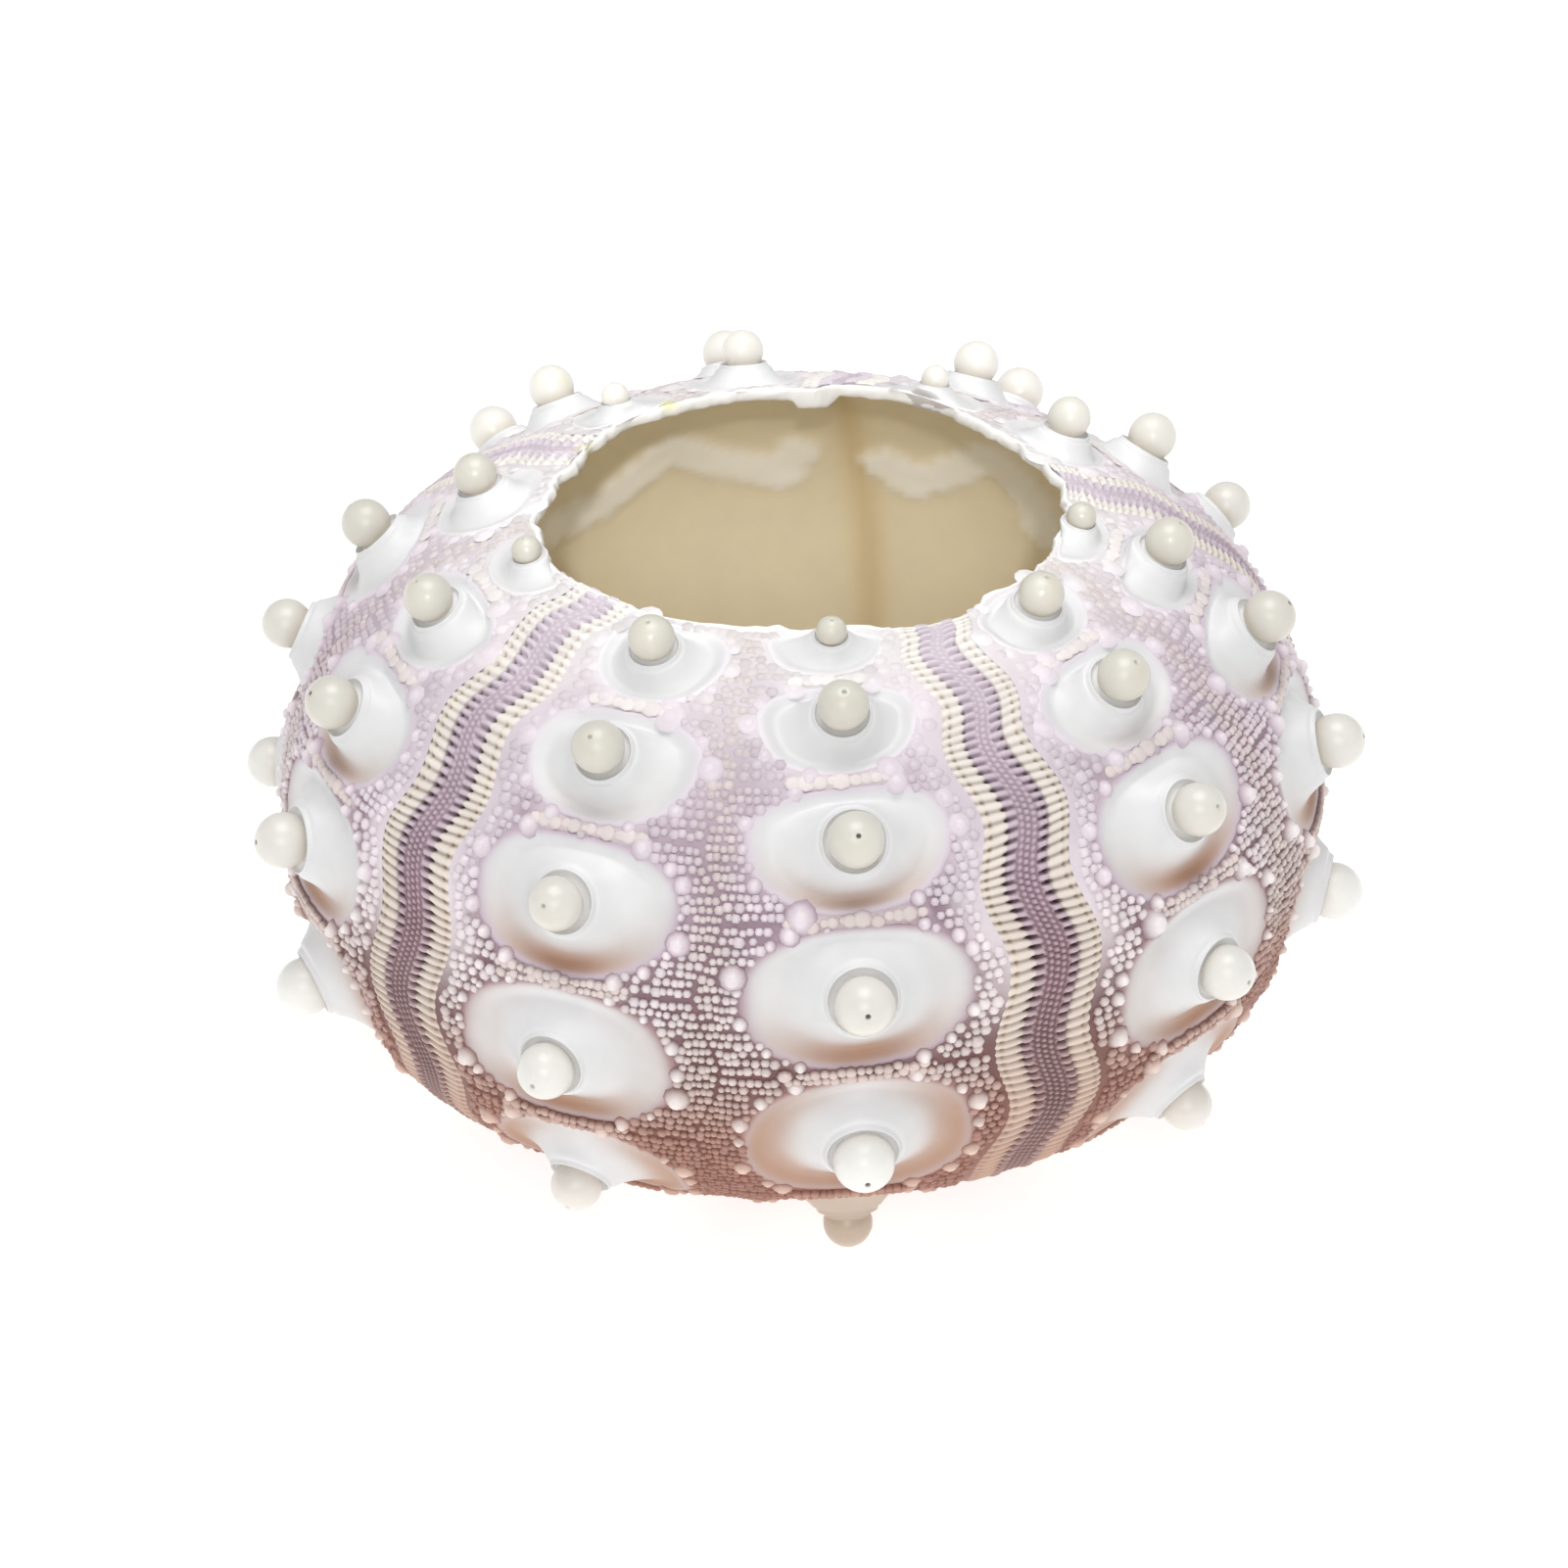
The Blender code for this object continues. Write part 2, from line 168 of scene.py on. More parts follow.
ROPE = ((0, (241, 237, 235)), (10, (232, 224, 222)), (18, (224, 212, 209)), (28, (222, 208, 204)),
        (34, (216, 194, 186)), (40, (184, 142, 124)), (64, (180, 134, 116)))
BALL = ((0, (211, 208, 196)), (14, (214, 211, 200)), (20, (222, 219, 210)), (32, (232, 230, 224)),
        (38, (240, 239, 234)), (46, (226, 218, 208)), (52, (198, 175, 154)), (64, (198, 175, 154)))
# Painted light: the upper balls on the far side are made paler, as if lit more strongly
BALL_PAINTED_LIGHT_BEHIND = (243, 240, 232)
RIB = ((0, (241, 238, 233)), (10, (238, 232, 224)), (20, (232, 222, 212)), (30, (226, 212, 201)),
       (36, (216, 190, 174)), (42, (198, 160, 140)), (64, (186, 142, 120)))
CORE = ((0, (212, 201, 210)), (8, (196, 181, 194)), (14, (182, 163, 177)), (20, (160, 134, 148)),
        (26, (142, 104, 115)), (31, (116, 78, 82)), (37, (98, 60, 58)), (44, (112, 72, 64)),
        (64, (146, 102, 88)))
KNOB = ((0, (226, 217, 224)), (8, (217, 205, 214)), (18, (206, 190, 200)), (28, (202, 178, 185)),
        (36, (188, 156, 152)), (64, (170, 126, 110)))
PORE = ((0, (170, 152, 158)), (7, (122, 98, 102)), (14, (78, 54, 56)), (22, (60, 36, 38)),
        (44, (52, 30, 30)), (64, (92, 58, 48)))
BASIN = (221, 221, 221)
# Painted highlight on the upper side of each basin
BASIN_PAINTED_HIGHLIGHT = (236, 236, 237)
# Warm tan of the lower basins, which below each ball is also painted shadow cast by the boss
WARM_TAN_AND_SHADE = (172, 127, 97)
TAN = (196, 174, 152)
MEDIAN = (214, 201, 192)
# Painted shade on the lower part of each ball, round its neck and on its downhill side
BALL_PAINTED_SHADE = (206, 190, 164)
PIT = (60, 44, 38)
OUTER_PORE = (140, 108, 82)
FRINGE = (224, 208, 176)
GROOVE = (150, 134, 122)
INSIDE = (235, 223, 193)
INSIDE_PALE = (252, 249, 240)
INSIDE_LINE = (206, 180, 127)
RIM = (247, 246, 243)
FLOOR = (206, 206, 206)

# How much warm colour a basin has below its ball, where it is partly real tan and partly painted
# shadow cast by the boss, and all round, by depth
WARMTH_DEPTH = (8, 12, 16, 21, 31, 37, 43)
SHADE_AND_WARMTH_BELOW = (0.0, 0.15, 0.75, 1.0, 1.0, 1.0, 1.0)
WARMTH_ROUND = (0.0, 0.0, 0.0, 0.0, 0.12, 0.90, 1.0)

# Stains and patches of painted shade: azimuth in degrees, depth, height, radius, colour and strength
STAINS_AND_PAINTED_SHADE = ((-139.0, 6.0, 2.0, 1.3, (214, 214, 120), 0.45),
          (-148.0, 0.2, -0.4, 1.0, (226, 224, 90), 0.6),
          (-118.0, 0.2, -1.0, 1.3, (226, 220, 130), 0.4),
          # Painted shade beside a small boss below the crown rim, at the back
          (160.0, 2.6, -0.3, 1.0, (186, 178, 190), 0.7),
          # Painted shadow where the shell meets the floor, low at the front: this patch and the next
          (-13.5, 48.5, -0.3, 1.1, (70, 56, 50), 0.8),
          (21.0, 48.0, -0.3, 0.9, (84, 62, 54), 0.7))

# Inside, for each pore band: azimuth from its middle in degrees, and depth, along the middles of the
# pale lobes. Then the darker line between them: depth with azimuth, and its width in degrees
LOBES = (((42.3, 26.1), (35.9, 25.0), (29.3, 21.5), (27.1, 19.9), (21.3, 22.1), (15.6, 24.0), (11.6, 24.6),
          (10.1, 22.0)),
         ((-1.1, 23.4), (-4.7, 25.5), (-10.1, 23.8), (-17.1, 20.3), (-19.9, 22.6), (-23.1, 28.2)))
LOBE_HALF_WIDTH = 1.9
LOBE_THICKNESS = 0.35
SEAM = ((0, 3.4), (14, 3.0), (21, 2.6), (25, 2.1), (29, 1.3), (37, 0.6), (64, 0.0))
SEAM_WIDTH = 2.2

# Piece of plate that hangs from the crown rim into the opening: azimuth in degrees, depth, and
# thickness beyond the wall's
TAB_AZIMUTH = (171.5, 181.0)
TAB_DEPTH = 2.5
TAB_THICKNESS = 0.65

# Stage: the camera in millimetres, the lights and the floor in metres
CAMERA_TARGET = AXIS + np.array([-1.195, 0.0, -0.61])
CAMERA_ELEVATION = math.radians(31.69)
CAMERA_DISTANCE = 301.43
CAMERA_ROLL = math.radians(-0.53)
CAMERA_LENS = 99.06
SENSOR_WIDTH = 36.0
FLOOR_REACH = 3.0
FLOOR_GLOW = 0.75
SKY_STRENGTH = 0.47
LIGHT_TARGET = (0.0, 0.0, 0.02)
OPENING_SPOTS = (("left", -0.0125, 4.6), ("middle", 0.0, 1.6), ("right", 0.0135, 4.2))


def linear(colour):
    """Scene colour of an 8-bit display colour."""
    value = np.array(colour, dtype=float) / 255
    return np.where(value <= 0.04045, value / 12.92, ((value + 0.055) / 1.055) ** 2.4)


def by_depth(depth, stops):
    """Scene colours for depths, from stops of depth and display colour."""
    places = [place for place, _ in stops]
    colours = np.array([linear(colour) for _, colour in stops])
    return np.stack([np.interp(depth, places, colours[:, k]) for k in range(3)], axis=-1)


def blend(first, second, share):
    share = np.asarray(share)[..., None]
    return first * (1 - share) + second * share


def smooth(value):
    value = np.clip(value, 0, 1)
    return value * value * (3 - 2 * value)


def bell(value, centre, width):
    return np.exp(-((value - centre) / width) ** 2)


def window(value, low, high, edge):
    """1 between low and high, easing to 0 within edge of each."""
    return smooth((value - low) / edge + 0.5) * smooth((high - value) / edge + 0.5)


def meridian():
    """Depth, radius and rise of the outer wall along one meridian, crown first."""
    angle = np.radians(np.linspace(*MERIDIAN_DEGREES, MERIDIAN_STEPS))
    upper = angle > 0
    cosine = np.cos(angle)
    sine = np.abs(np.sin(angle))
    radius = TEST_RADIUS * np.where(upper, cosine ** CROWN_POWERS[0], cosine ** BASE_POWERS[0])
    rise = np.where(upper, CROWN_RISE * sine ** CROWN_POWERS[1], -BASE_DROP * sine ** BASE_POWERS[1])
    inside = np.clip((MOUTH_TUCK_RADIUS - radius) / (MOUTH_TUCK_RADIUS - MOUTH_RIM_RADIUS), 0, None)
    rise = rise + np.where(upper, 0.0, MOUTH_TUCK * inside ** 2)
    depth = np.r_[0, np.cumsum(np.hypot(np.diff(radius), np.diff(rise)))]
    crown = np.interp(CROWN_RIM_RADIUS, radius[upper], depth[upper])
    mouth = np.interp(-MOUTH_RIM_RADIUS, -radius[~upper], depth[~upper])
    return depth - crown, radius, rise, mouth - crown


DEPTHS, RADII, RISES, MOUTH_DEPTH = meridian()


def radius_at(depth):
    return np.interp(depth, DEPTHS, RADII)


def real_depth(azimuth, depth):
    """Depth on the real shell of places on the even one."""
    near_crown = np.clip(depth / LEAN_REACH, 0, 1)
    near_mouth = np.clip((LEAN_END - depth) / LEAN_REACH, 0, 1)
    share = near_crown * (2 - near_crown) * near_mouth * (2 - near_mouth)
    degrees = (np.degrees(azimuth) + 180) % 360 - 180
    broken = np.interp(degrees, RIM_BREAK_AZIMUTH, RIM_BREAK_DEPTH)
    fade = np.clip(1 - depth / RIM_BREAK_REACH, 0, 1) ** 2
    return depth - LEAN * np.sin(azimuth) * share + broken * fade


def wall_frame(azimuth, depth):
    """Points on the wall with their directions along azimuth, down the meridian and outward."""
    azimuth, depth = np.broadcast_arrays(np.asarray(azimuth, float), np.asarray(depth, float))
    real = real_depth(azimuth, depth)
    before = real - WALL_STEP
    after = real + WALL_STEP
    run = np.interp(after, DEPTHS, RADII) - np.interp(before, DEPTHS, RADII)
    fall = np.interp(after, DEPTHS, RISES) - np.interp(before, DEPTHS, RISES)
    length = np.hypot(run, fall)
    run = (run / length)[..., None]
    fall = (fall / length)[..., None]
    zero = np.zeros_like(azimuth)
    outward = np.stack([np.sin(azimuth), -np.cos(azimuth), zero], axis=-1)
    across = np.stack([np.cos(azimuth), np.sin(azimuth), zero], axis=-1)
    up = np.array([0.0, 0.0, 1.0])
    point = radius_at(real)[..., None] * outward + np.interp(real, DEPTHS, RISES)[..., None] * up
    return point + AXIS, across, run * outward + fall * up, -fall * outward + run * up


def on_wall(azimuth, depth, height):
    point, _, _, normal = wall_frame(azimuth, depth)
    return point + np.asarray(height)[..., None] * normal


def swing_sign(depth):
    """1 beside the right bosses, -1 beside the left ones, easing between."""
    stops = sorted([(d, 1.0) for d, _ in RIGHT_BOSSES] + [(d, -1.0) for d, _ in LEFT_BOSSES])
    places = np.array([d for d, _ in stops])
    sides = np.array([side for _, side in stops])
    index = np.clip(np.searchsorted(places, depth) - 1, 0, len(places) - 2)
    part = np.clip((depth - places[index]) / (places[index + 1] - places[index]), 0, 1)
    ease = 0.5 - 0.5 * np.cos(math.pi * part)
    return sides[index] + (sides[index + 1] - sides[index]) * ease


def swell(depth):
    return np.sin(math.pi * np.clip(depth / MOUTH_DEPTH, 0, 1))


def swing_at(depth):
    return swing_sign(depth) * (PORE_BAND_SWING + PORE_BAND_SWING_SWELL * swell(depth))


def half_width_at(depth):
    return PORE_BAND_HALF_WIDTH + PORE_BAND_SWELL * swell(depth)


def band_edge(side, share, depth):
    """Azimuth, from the middle of a band, of its ribs on one side at a share of their reach."""
    reach = side * share * RIB_REACH * half_width_at(depth)
    return side * math.pi / BANDS + (swing_at(depth) - reach) / radius_at(depth)


# A boss: its side of the band, depth, ball radius, whether the shell stands on it, and how far its
# basin reaches toward the pores, toward the middle of the band, up and down
Boss = namedtuple("Boss", "side depth ball stands outer inner above below")


def boss_list(band):
    """Every boss of one band."""
    bosses = []
    for side, column, start, end in zip((-1, 1), (LEFT_BOSSES, RIGHT_BOSSES), COLUMN_START, COLUMN_END):
        column = list(column)
        if side == 1 and band == ODD_BAND:
            column[STAND_ROW] = ODD_BOSS
        centres = [depth for depth, _ in column]
        joins = [start] + [(a + b) / 2 for a, b in zip(centres, centres[1:])] + [end]
        for row, (depth, ball) in enumerate(column):
            radius = float(radius_at(depth))
            spare = (math.pi / BANDS - COLUMN_OFFSET) * radius - float(half_width_at(depth))
            bosses.append(Boss(
                side, depth, ball,
                stands=side == 1 and row == STAND_ROW and band != ODD_BAND,
                outer=BASIN_OUTER_SHARE * spare,
                inner=BASIN_INNER_SHARE * COLUMN_OFFSET * radius,
                above=depth - joins[row] - BASIN_RIDGE,
                below=joins[row + 1] - depth - BASIN_RIDGE))
    return bosses


def basin_place(boss, angle, share):
    """Azimuth from the middle of the band and depth, on the basin outline scaled by share."""
    cosine = np.cos(angle)
    sine = np.sin(angle)
    size = (np.abs(cosine) ** BASIN_POWER + np.abs(sine) ** BASIN_POWER) ** (-1 / BASIN_POWER)
    across = share * size * cosine * np.where(cosine * boss.side > 0, boss.outer, boss.inner)
    place = boss.depth + share * size * sine * np.where(sine > 0, boss.below, boss.above)
    return boss.side * COLUMN_OFFSET + across / radius_at(place), place


def basin_share(boss, azimuth, depth):
    """Where places lie in a basin: 0 at its middle, 1 on its outline."""
    across = (azimuth - boss.side * COLUMN_OFFSET) * radius_at(depth)
    along = depth - boss.depth
    x = np.abs(across) / np.where(across * boss.side > 0, boss.outer, boss.inner)
    y = np.abs(along) / np.where(along > 0, boss.below, boss.above)
    return (x ** BASIN_POWER + y ** BASIN_POWER) ** (1 / BASIN_POWER)


def gap_to_basins(bosses, azimuth, depth):
    """Rough distance in millimetres from the nearest basin outline, negative inside."""
    gaps = [(basin_share(boss, azimuth, depth) - 1) * min(boss.outer, boss.inner, boss.above, boss.below)
            for boss in bosses]
    return np.min(np.stack(gaps), axis=0)


class Piece:
    """Collects the points, triangles and colours of one mesh."""

    def __init__(self):
        self.points = []
        self.triangles = []
        self.colours = []
        self.count = 0

    def add(self, points, triangles, colours):
        self.points.append(points.reshape(-1, 3))
        self.triangles.append(triangles + self.count)
        self.colours.append(np.broadcast_to(colours, points.shape).reshape(-1, 3))
        self.count += len(self.points[-1])

    def stained_and_shaded(self, points, colours):
        # Real stains, and patches of painted shade and painted shadow
        for degrees, depth, height, radius, colour, strength in STAINS_AND_PAINTED_SHADE:
            centre = on_wall(math.radians(degrees), depth, height)
            away = np.linalg.norm(points - centre, axis=1) / radius
            near = away < 1
            share = strength * smooth(1.4 * (1 - away[near]))
            colours[near] = blend(colours[near], linear(colour), share)
        return colours

    def build(self, name, material):
        points = np.concatenate(self.points)
        triangles = np.concatenate(self.triangles)
        colours = self.stained_and_shaded(points, np.concatenate(self.colours))
        mesh = bpy.data.meshes.new(name)
        mesh.vertices.add(len(points))
        mesh.vertices.foreach_set("co", (points * MM).astype(np.float32).ravel())
        mesh.loops.add(triangles.size)
        mesh.loops.foreach_set("vertex_index", triangles.astype(np.int32).ravel())
        mesh.polygons.add(len(triangles))
        mesh.polygons.foreach_set("loop_start", np.arange(0, triangles.size, 3, dtype=np.int32))
        mesh.update(calc_edges=True)
        mesh.validate()
        mesh.shade_smooth()
        tint = mesh.attributes.new("tint", "FLOAT_COLOR", "POINT")
        tint.data.foreach_set("color", np.c_[colours, np.ones(len(colours))].astype(np.float32).ravel())
        mesh.materials.append(material)
        piece = bpy.data.objects.new(name, mesh)
        bpy.context.scene.collection.objects.link(piece)
        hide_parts("urchin_shell")
        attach(piece, "root")
        print(name, len(triangles), "triangles")


def grid_triangles(rows, columns, closed=False):
    """Triangles of a grid of points. They face out where rows run down and columns to the right."""
    row = np.arange(rows - 1)[:, None] * columns
    column = np.arange(columns if closed else columns - 1)[None, :]
    beside = (column + 1) % columns
    a = row + column
    b = row + beside
    c = row + columns + column
    d = row + columns + beside
    return np.concatenate([np.stack([a, c, d], -1).reshape(-1, 3), np.stack([a, d, b], -1).reshape(-1, 3)])


def tip_fan(rows, columns):
    """Triangles that close the last row of a ring grid with the point that follows it."""
    last = (rows - 1) * columns
    return np.array([[last + k, rows * columns, last + (k + 1) % columns] for k in range(columns)])


def dome(sides, rings):
    """Points and triangles of a dome, from rings of radius and height, with a tip at height 1."""
    angle = 2 * math.pi * np.arange(sides) / sides
    points = [[radius * math.cos(a), radius * math.sin(a), height] for radius, height in rings for a in angle]
    points.append([0.0, 0.0, 1.0])
    rows = len(rings)
    return np.array(points), np.concatenate([grid_triangles(rows, sides, closed=True), tip_fan(rows, sides)])


GRAIN_DOME = dome(6, ((1.04, -0.35), (0.82, 0.52)))
BEAD_DOME = dome(8, ((1.05, -0.35), (0.98, 0.25), (0.66, 0.78)))
KNOB_DOME = dome(10, ((1.42, -0.35), (1.22, 0.08), (0.90, 0.40), (0.66, 0.56), (0.56, 0.80), (0.30, 0.97)))


def add_domes(piece, shape, place, base, size, foot, crest):
    """Domes on the wall: place as azimuth and depth, size as half width, half length and rise."""
    template, triangles = shape
    point, across, down, normal = wall_frame(*place)
    wide, long, rise = (value[:, None, None] for value in size)
    points = ((point + base[:, None] * normal)[:, None, :]
              + template[None, :, 0:1] * wide * across[:, None, :]
              + template[None, :, 1:2] * long * down[:, None, :]
              + template[None, :, 2:3] * rise * normal[:, None, :])
    share = smooth((template[:, 2] + 0.1) / 0.9)[None, :, None]
    colours = foot[:, None, :] * (1 - share) + crest[:, None, :] * share
    offsets = (np.arange(len(point)) * len(template))[:, None, None]
    piece.add(points, (triangles[None] + offsets).reshape(-1, 3), colours)


def spline_rings(controls, steps):
    """Rings on the smooth surface that the control rings pull."""
    controls = np.stack(controls)
    t = (np.arange(steps) / steps)[:, None, None]
    weights = ((1 - t) ** 3 / 6, (3 * t ** 3 - 6 * t ** 2 + 4) / 6,
               (-3 * t ** 3 + 3 * t ** 2 + 3 * t + 1) / 6, t ** 3 / 6)
    spans = [sum(w * controls[k + j] for j, w in enumerate(weights)) for k in range(len(controls) - 3)]
    return np.concatenate(spans)


def ball_place(boss, point, normal):
    """Centre of a ball and the direction it points in."""
    rise = np.interp(boss.depth, BALL_CENTRE_DEPTH, BALL_CENTRE)
    if boss.ball < SMALL_BALL:
        rise = SMALL_BALL_RISE
    centre = point + rise * boss.ball * normal
    if not boss.stands:
        return centre, normal
    centre[2] = AXIS[2] + STAND_PLANE + STAND_FLAT_RISE * boss.ball
    return centre, np.array([0.0, 0.0, -1.0])


# Profile of a dish. DISH_RIM holds shares of the basin outline with heights in millimetres, and
# CONE_FLANK the share of the way up the cone, its sag over the ball radius and its share of warm tan
# and painted shadow. Then, over the ball radius, the raised ring as reach beyond its crest with rise,
# and the ring's inner foot.
# NECK holds the reach over the ball radius and the share of the way from its foot to the ball
DISH_RIM = ((1.16, -0.95), (1.09, -0.55), (1.03, -0.36))
CONE_FLANK = ((0.22, 0.07, 0.8), (0.45, 0.15, 0.38), (0.68, 0.16, 0.10), (0.88, 0.10, 0.0))
RAISED_RING = ((0.12, 0.24), (0.07, 0.26), (0.04, 0.33), (0.0, 0.46), (-0.05, 0.45), (-0.10, 0.33))
RING_INNER = (0.97, 0.27)
NECK = ((0.80, 0.0), (0.68, 0.15), (0.62, 0.5), (0.56, 0.9), (0.50, 1.0))
STAND_NECK_EXTRA = 0.3
TROUGH_SHARE = 0.80
TROUGH_SINK = 0.50


def add_dish(piece, band_azimuth, boss):
    """Basin, cone, the raised ring on it and the neck under the ball."""
    count = SMALL_BOSS_POINTS if boss.ball < SMALL_BALL else BOSS_POINTS
    angles = 2 * math.pi * np.arange(count) / count
    point, across, down, normal = wall_frame(band_azimuth + boss.side * COLUMN_OFFSET, boss.depth)
    centre, _ = ball_place(boss, point, normal)
    ball = boss.ball
    areole = by_depth(np.full(count, boss.depth), AREOLE)
    # Masks round the basin: below the ball for warm tan and painted shadow cast by the boss, above it for a
    # painted highlight
    below = bell((angles - math.pi / 2 + math.pi) % (2 * math.pi) - math.pi, 0.0, 0.95)
    above = bell((angles + math.pi / 2 + math.pi) % (2 * math.pi) - math.pi, 0.0, 0.8)
    white_with_painted_highlight = blend(linear(BASIN), linear(BASIN_PAINTED_HIGHLIGHT), above)
    white_with_painted_highlight = blend(white_with_painted_highlight, linear(TAN), np.full(count, 0.85 * smooth((boss.depth - 45) / 5)))
    warmth_and_shade = np.maximum(below * np.interp(boss.depth, WARMTH_DEPTH, SHADE_AND_WARMTH_BELOW),
                        (1 - 0.8 * above) * np.interp(boss.depth, WARMTH_DEPTH, WARMTH_ROUND))
    waver = 1 + 0.012 * np.sin(3 * angles + boss.depth) + 0.008 * np.sin(7 * angles + 2 * boss.depth)

    def warmed_and_shaded(share):
        return blend(white_with_painted_highlight, linear(WARM_TAN_AND_SHADE), warmth_and_shade * share)

    def outline(share, height, colour):
        offset, place = basin_place(boss, angles, share * waver)
        return np.hstack([on_wall(band_azimuth + offset, place, np.full(count, height)), colour])

    def circle(reach, middle):
        ring = middle + reach * ball * (np.cos(angles)[:, None] * across + np.sin(angles)[:, None] * down)
        return np.hstack([ring, white_with_painted_highlight])

    def level(reach, rise):
        return circle(reach, point + rise * ball * normal)

    def neck(reach, share):
        return circle(reach, neck_foot + share * (centre - neck_foot))

    neck_foot = point + NECK_RISE * ball * normal
    rim = [outline(share, height, areole) for share, height in DISH_RIM]
    rim += [outline(0.99, -0.38, blend(areole, white_with_painted_highlight, np.full(count, 0.35))),
            outline(0.94, -0.26 - 0.12 * ball, blend(areole, warmed_and_shaded(0.9), np.full(count, 0.8))),
            outline(0.885, -0.14 - 0.30 * ball, warmed_and_shaded(1.0))]
    trough = outline(TROUGH_SHARE, -TROUGH_SINK * ball, warmed_and_shaded(0.9))
    ring = float(np.interp(boss.depth, (10, 22), (1.12, 1.21)))
    top = level(ring + 0.20, 0.20)
    slope = []
    for share, sag, warm_and_shade_share in CONE_FLANK:
        flank = (1 - share) * trough + share * top
        flank[:, :3] -= sag * ball * normal
        flank[:, 3:] = warmed_and_shaded(warm_and_shade_share)
        slope.append(flank)
    collar = [level(ring + beyond, rise) for beyond, rise in RAISED_RING] + [level(*RING_INNER)]
    thick = STAND_NECK_EXTRA if boss.stands else 0.0
    post = [neck(reach + thick, share) for reach, share in NECK]
    rings = spline_rings(rim + [trough] + slope + [top] + collar + post, 2)
    piece.add(rings[..., :3], grid_triangles(len(rings), count, closed=True), rings[..., 3:])


# Rings of a ball: angle from its tip in degrees, and distance from its centre over its radius, less
# than 1 in the pinhole
BALL_RINGS = ((1.5, 0.90), (3.2, 0.90), (4.6, 0.965), (6.5, 0.993), (11, 1), (19, 1), (28, 1), (38, 1),
              (49, 1), (60, 1), (72, 1), (84, 1), (96, 1), (108, 1), (120, 1), (132, 1))
PINHOLE_FLOOR = 0.89
OPEN_PIT_DEPTHS = (14, 40)


def add_ball(piece, band_azimuth, boss):
    """Ball with its pinhole, flat underneath where the shell stands on it."""
    point, across, _, normal = wall_frame(band_azimuth + boss.side * COLUMN_OFFSET, boss.depth)
    centre, out = ball_place(boss, point, normal)
    down = np.cross(across, out)
    ball = boss.ball
    around = 2 * math.pi * np.arange(BALL_POINTS) / BALL_POINTS
    polar = np.radians([angle for angle, _ in BALL_RINGS[::-1]])[:, None]
    reach = ball * np.array([sink for _, sink in BALL_RINGS[::-1]])[:, None]
    uneven = 1 + 0.012 * np.sin(3 * around + boss.depth) * np.sin(polar) ** 2
    radial = np.cos(around)[None, :, None] * across + np.sin(around)[None, :, None] * down
    points = (centre + (reach * np.cos(polar))[..., None] * out
              + (reach * uneven * np.sin(polar))[..., None] * radial)
    shape = points.shape[:2]
    open_pit = boss.side > 0 and OPEN_PIT_DEPTHS[0] < boss.depth < OPEN_PIT_DEPTHS[1]
    # Painted shade on the lower part of the ball, round its neck and on its downhill side
    foot = 0.35 * smooth((np.degrees(polar) - 84) / 40) + 0.14 * smooth((np.sin(around) - 0.1) / 0.9)
    pit = smooth((6.0 - np.degrees(polar)) / 2.2) * (0.9 if open_pit else 0.28)
    tone = by_depth(np.full(shape, boss.depth), BALL)
    # Painted light: upper balls that face away from the camera are made paler
    facing_back = -math.cos(band_azimuth + boss.side * COLUMN_OFFSET)
    painted_light_behind = smooth((facing_back - 0.1) / 0.7) * smooth((24 - boss.depth) / 8)
    tone = blend(tone, linear(BALL_PAINTED_LIGHT_BEHIND), np.full(shape, painted_light_behind))
    colours = blend(tone, linear(BALL_PAINTED_SHADE), np.broadcast_to(foot, shape))
    colours = blend(colours, linear(PIT), np.broadcast_to(pit, shape))
    points = np.vstack([points.reshape(-1, 3), centre + PINHOLE_FLOOR * ball * out])
    colours = np.vstack([colours.reshape(-1, 3), colours[-1, :1]])
    if boss.stands:
        points[:, 2] = np.maximum(points[:, 2], 0.0)
    rows = len(BALL_RINGS)
    triangles = np.concatenate([grid_triangles(rows, BALL_POINTS, closed=True), tip_fan(rows, BALL_POINTS)])
    piece.add(points, triangles, colours)


def beside_pores(azimuth, depth):
    """1 next to the pore bands on the upper half, where the ground is pale, easing to 0."""
    room = np.minimum(azimuth - band_edge(-1, 1.0, depth), band_edge(1, 1.0, depth) - azimuth)
    return smooth((2.6 - room * radius_at(depth)) / 1.7) * smooth((32 - depth) / 9)


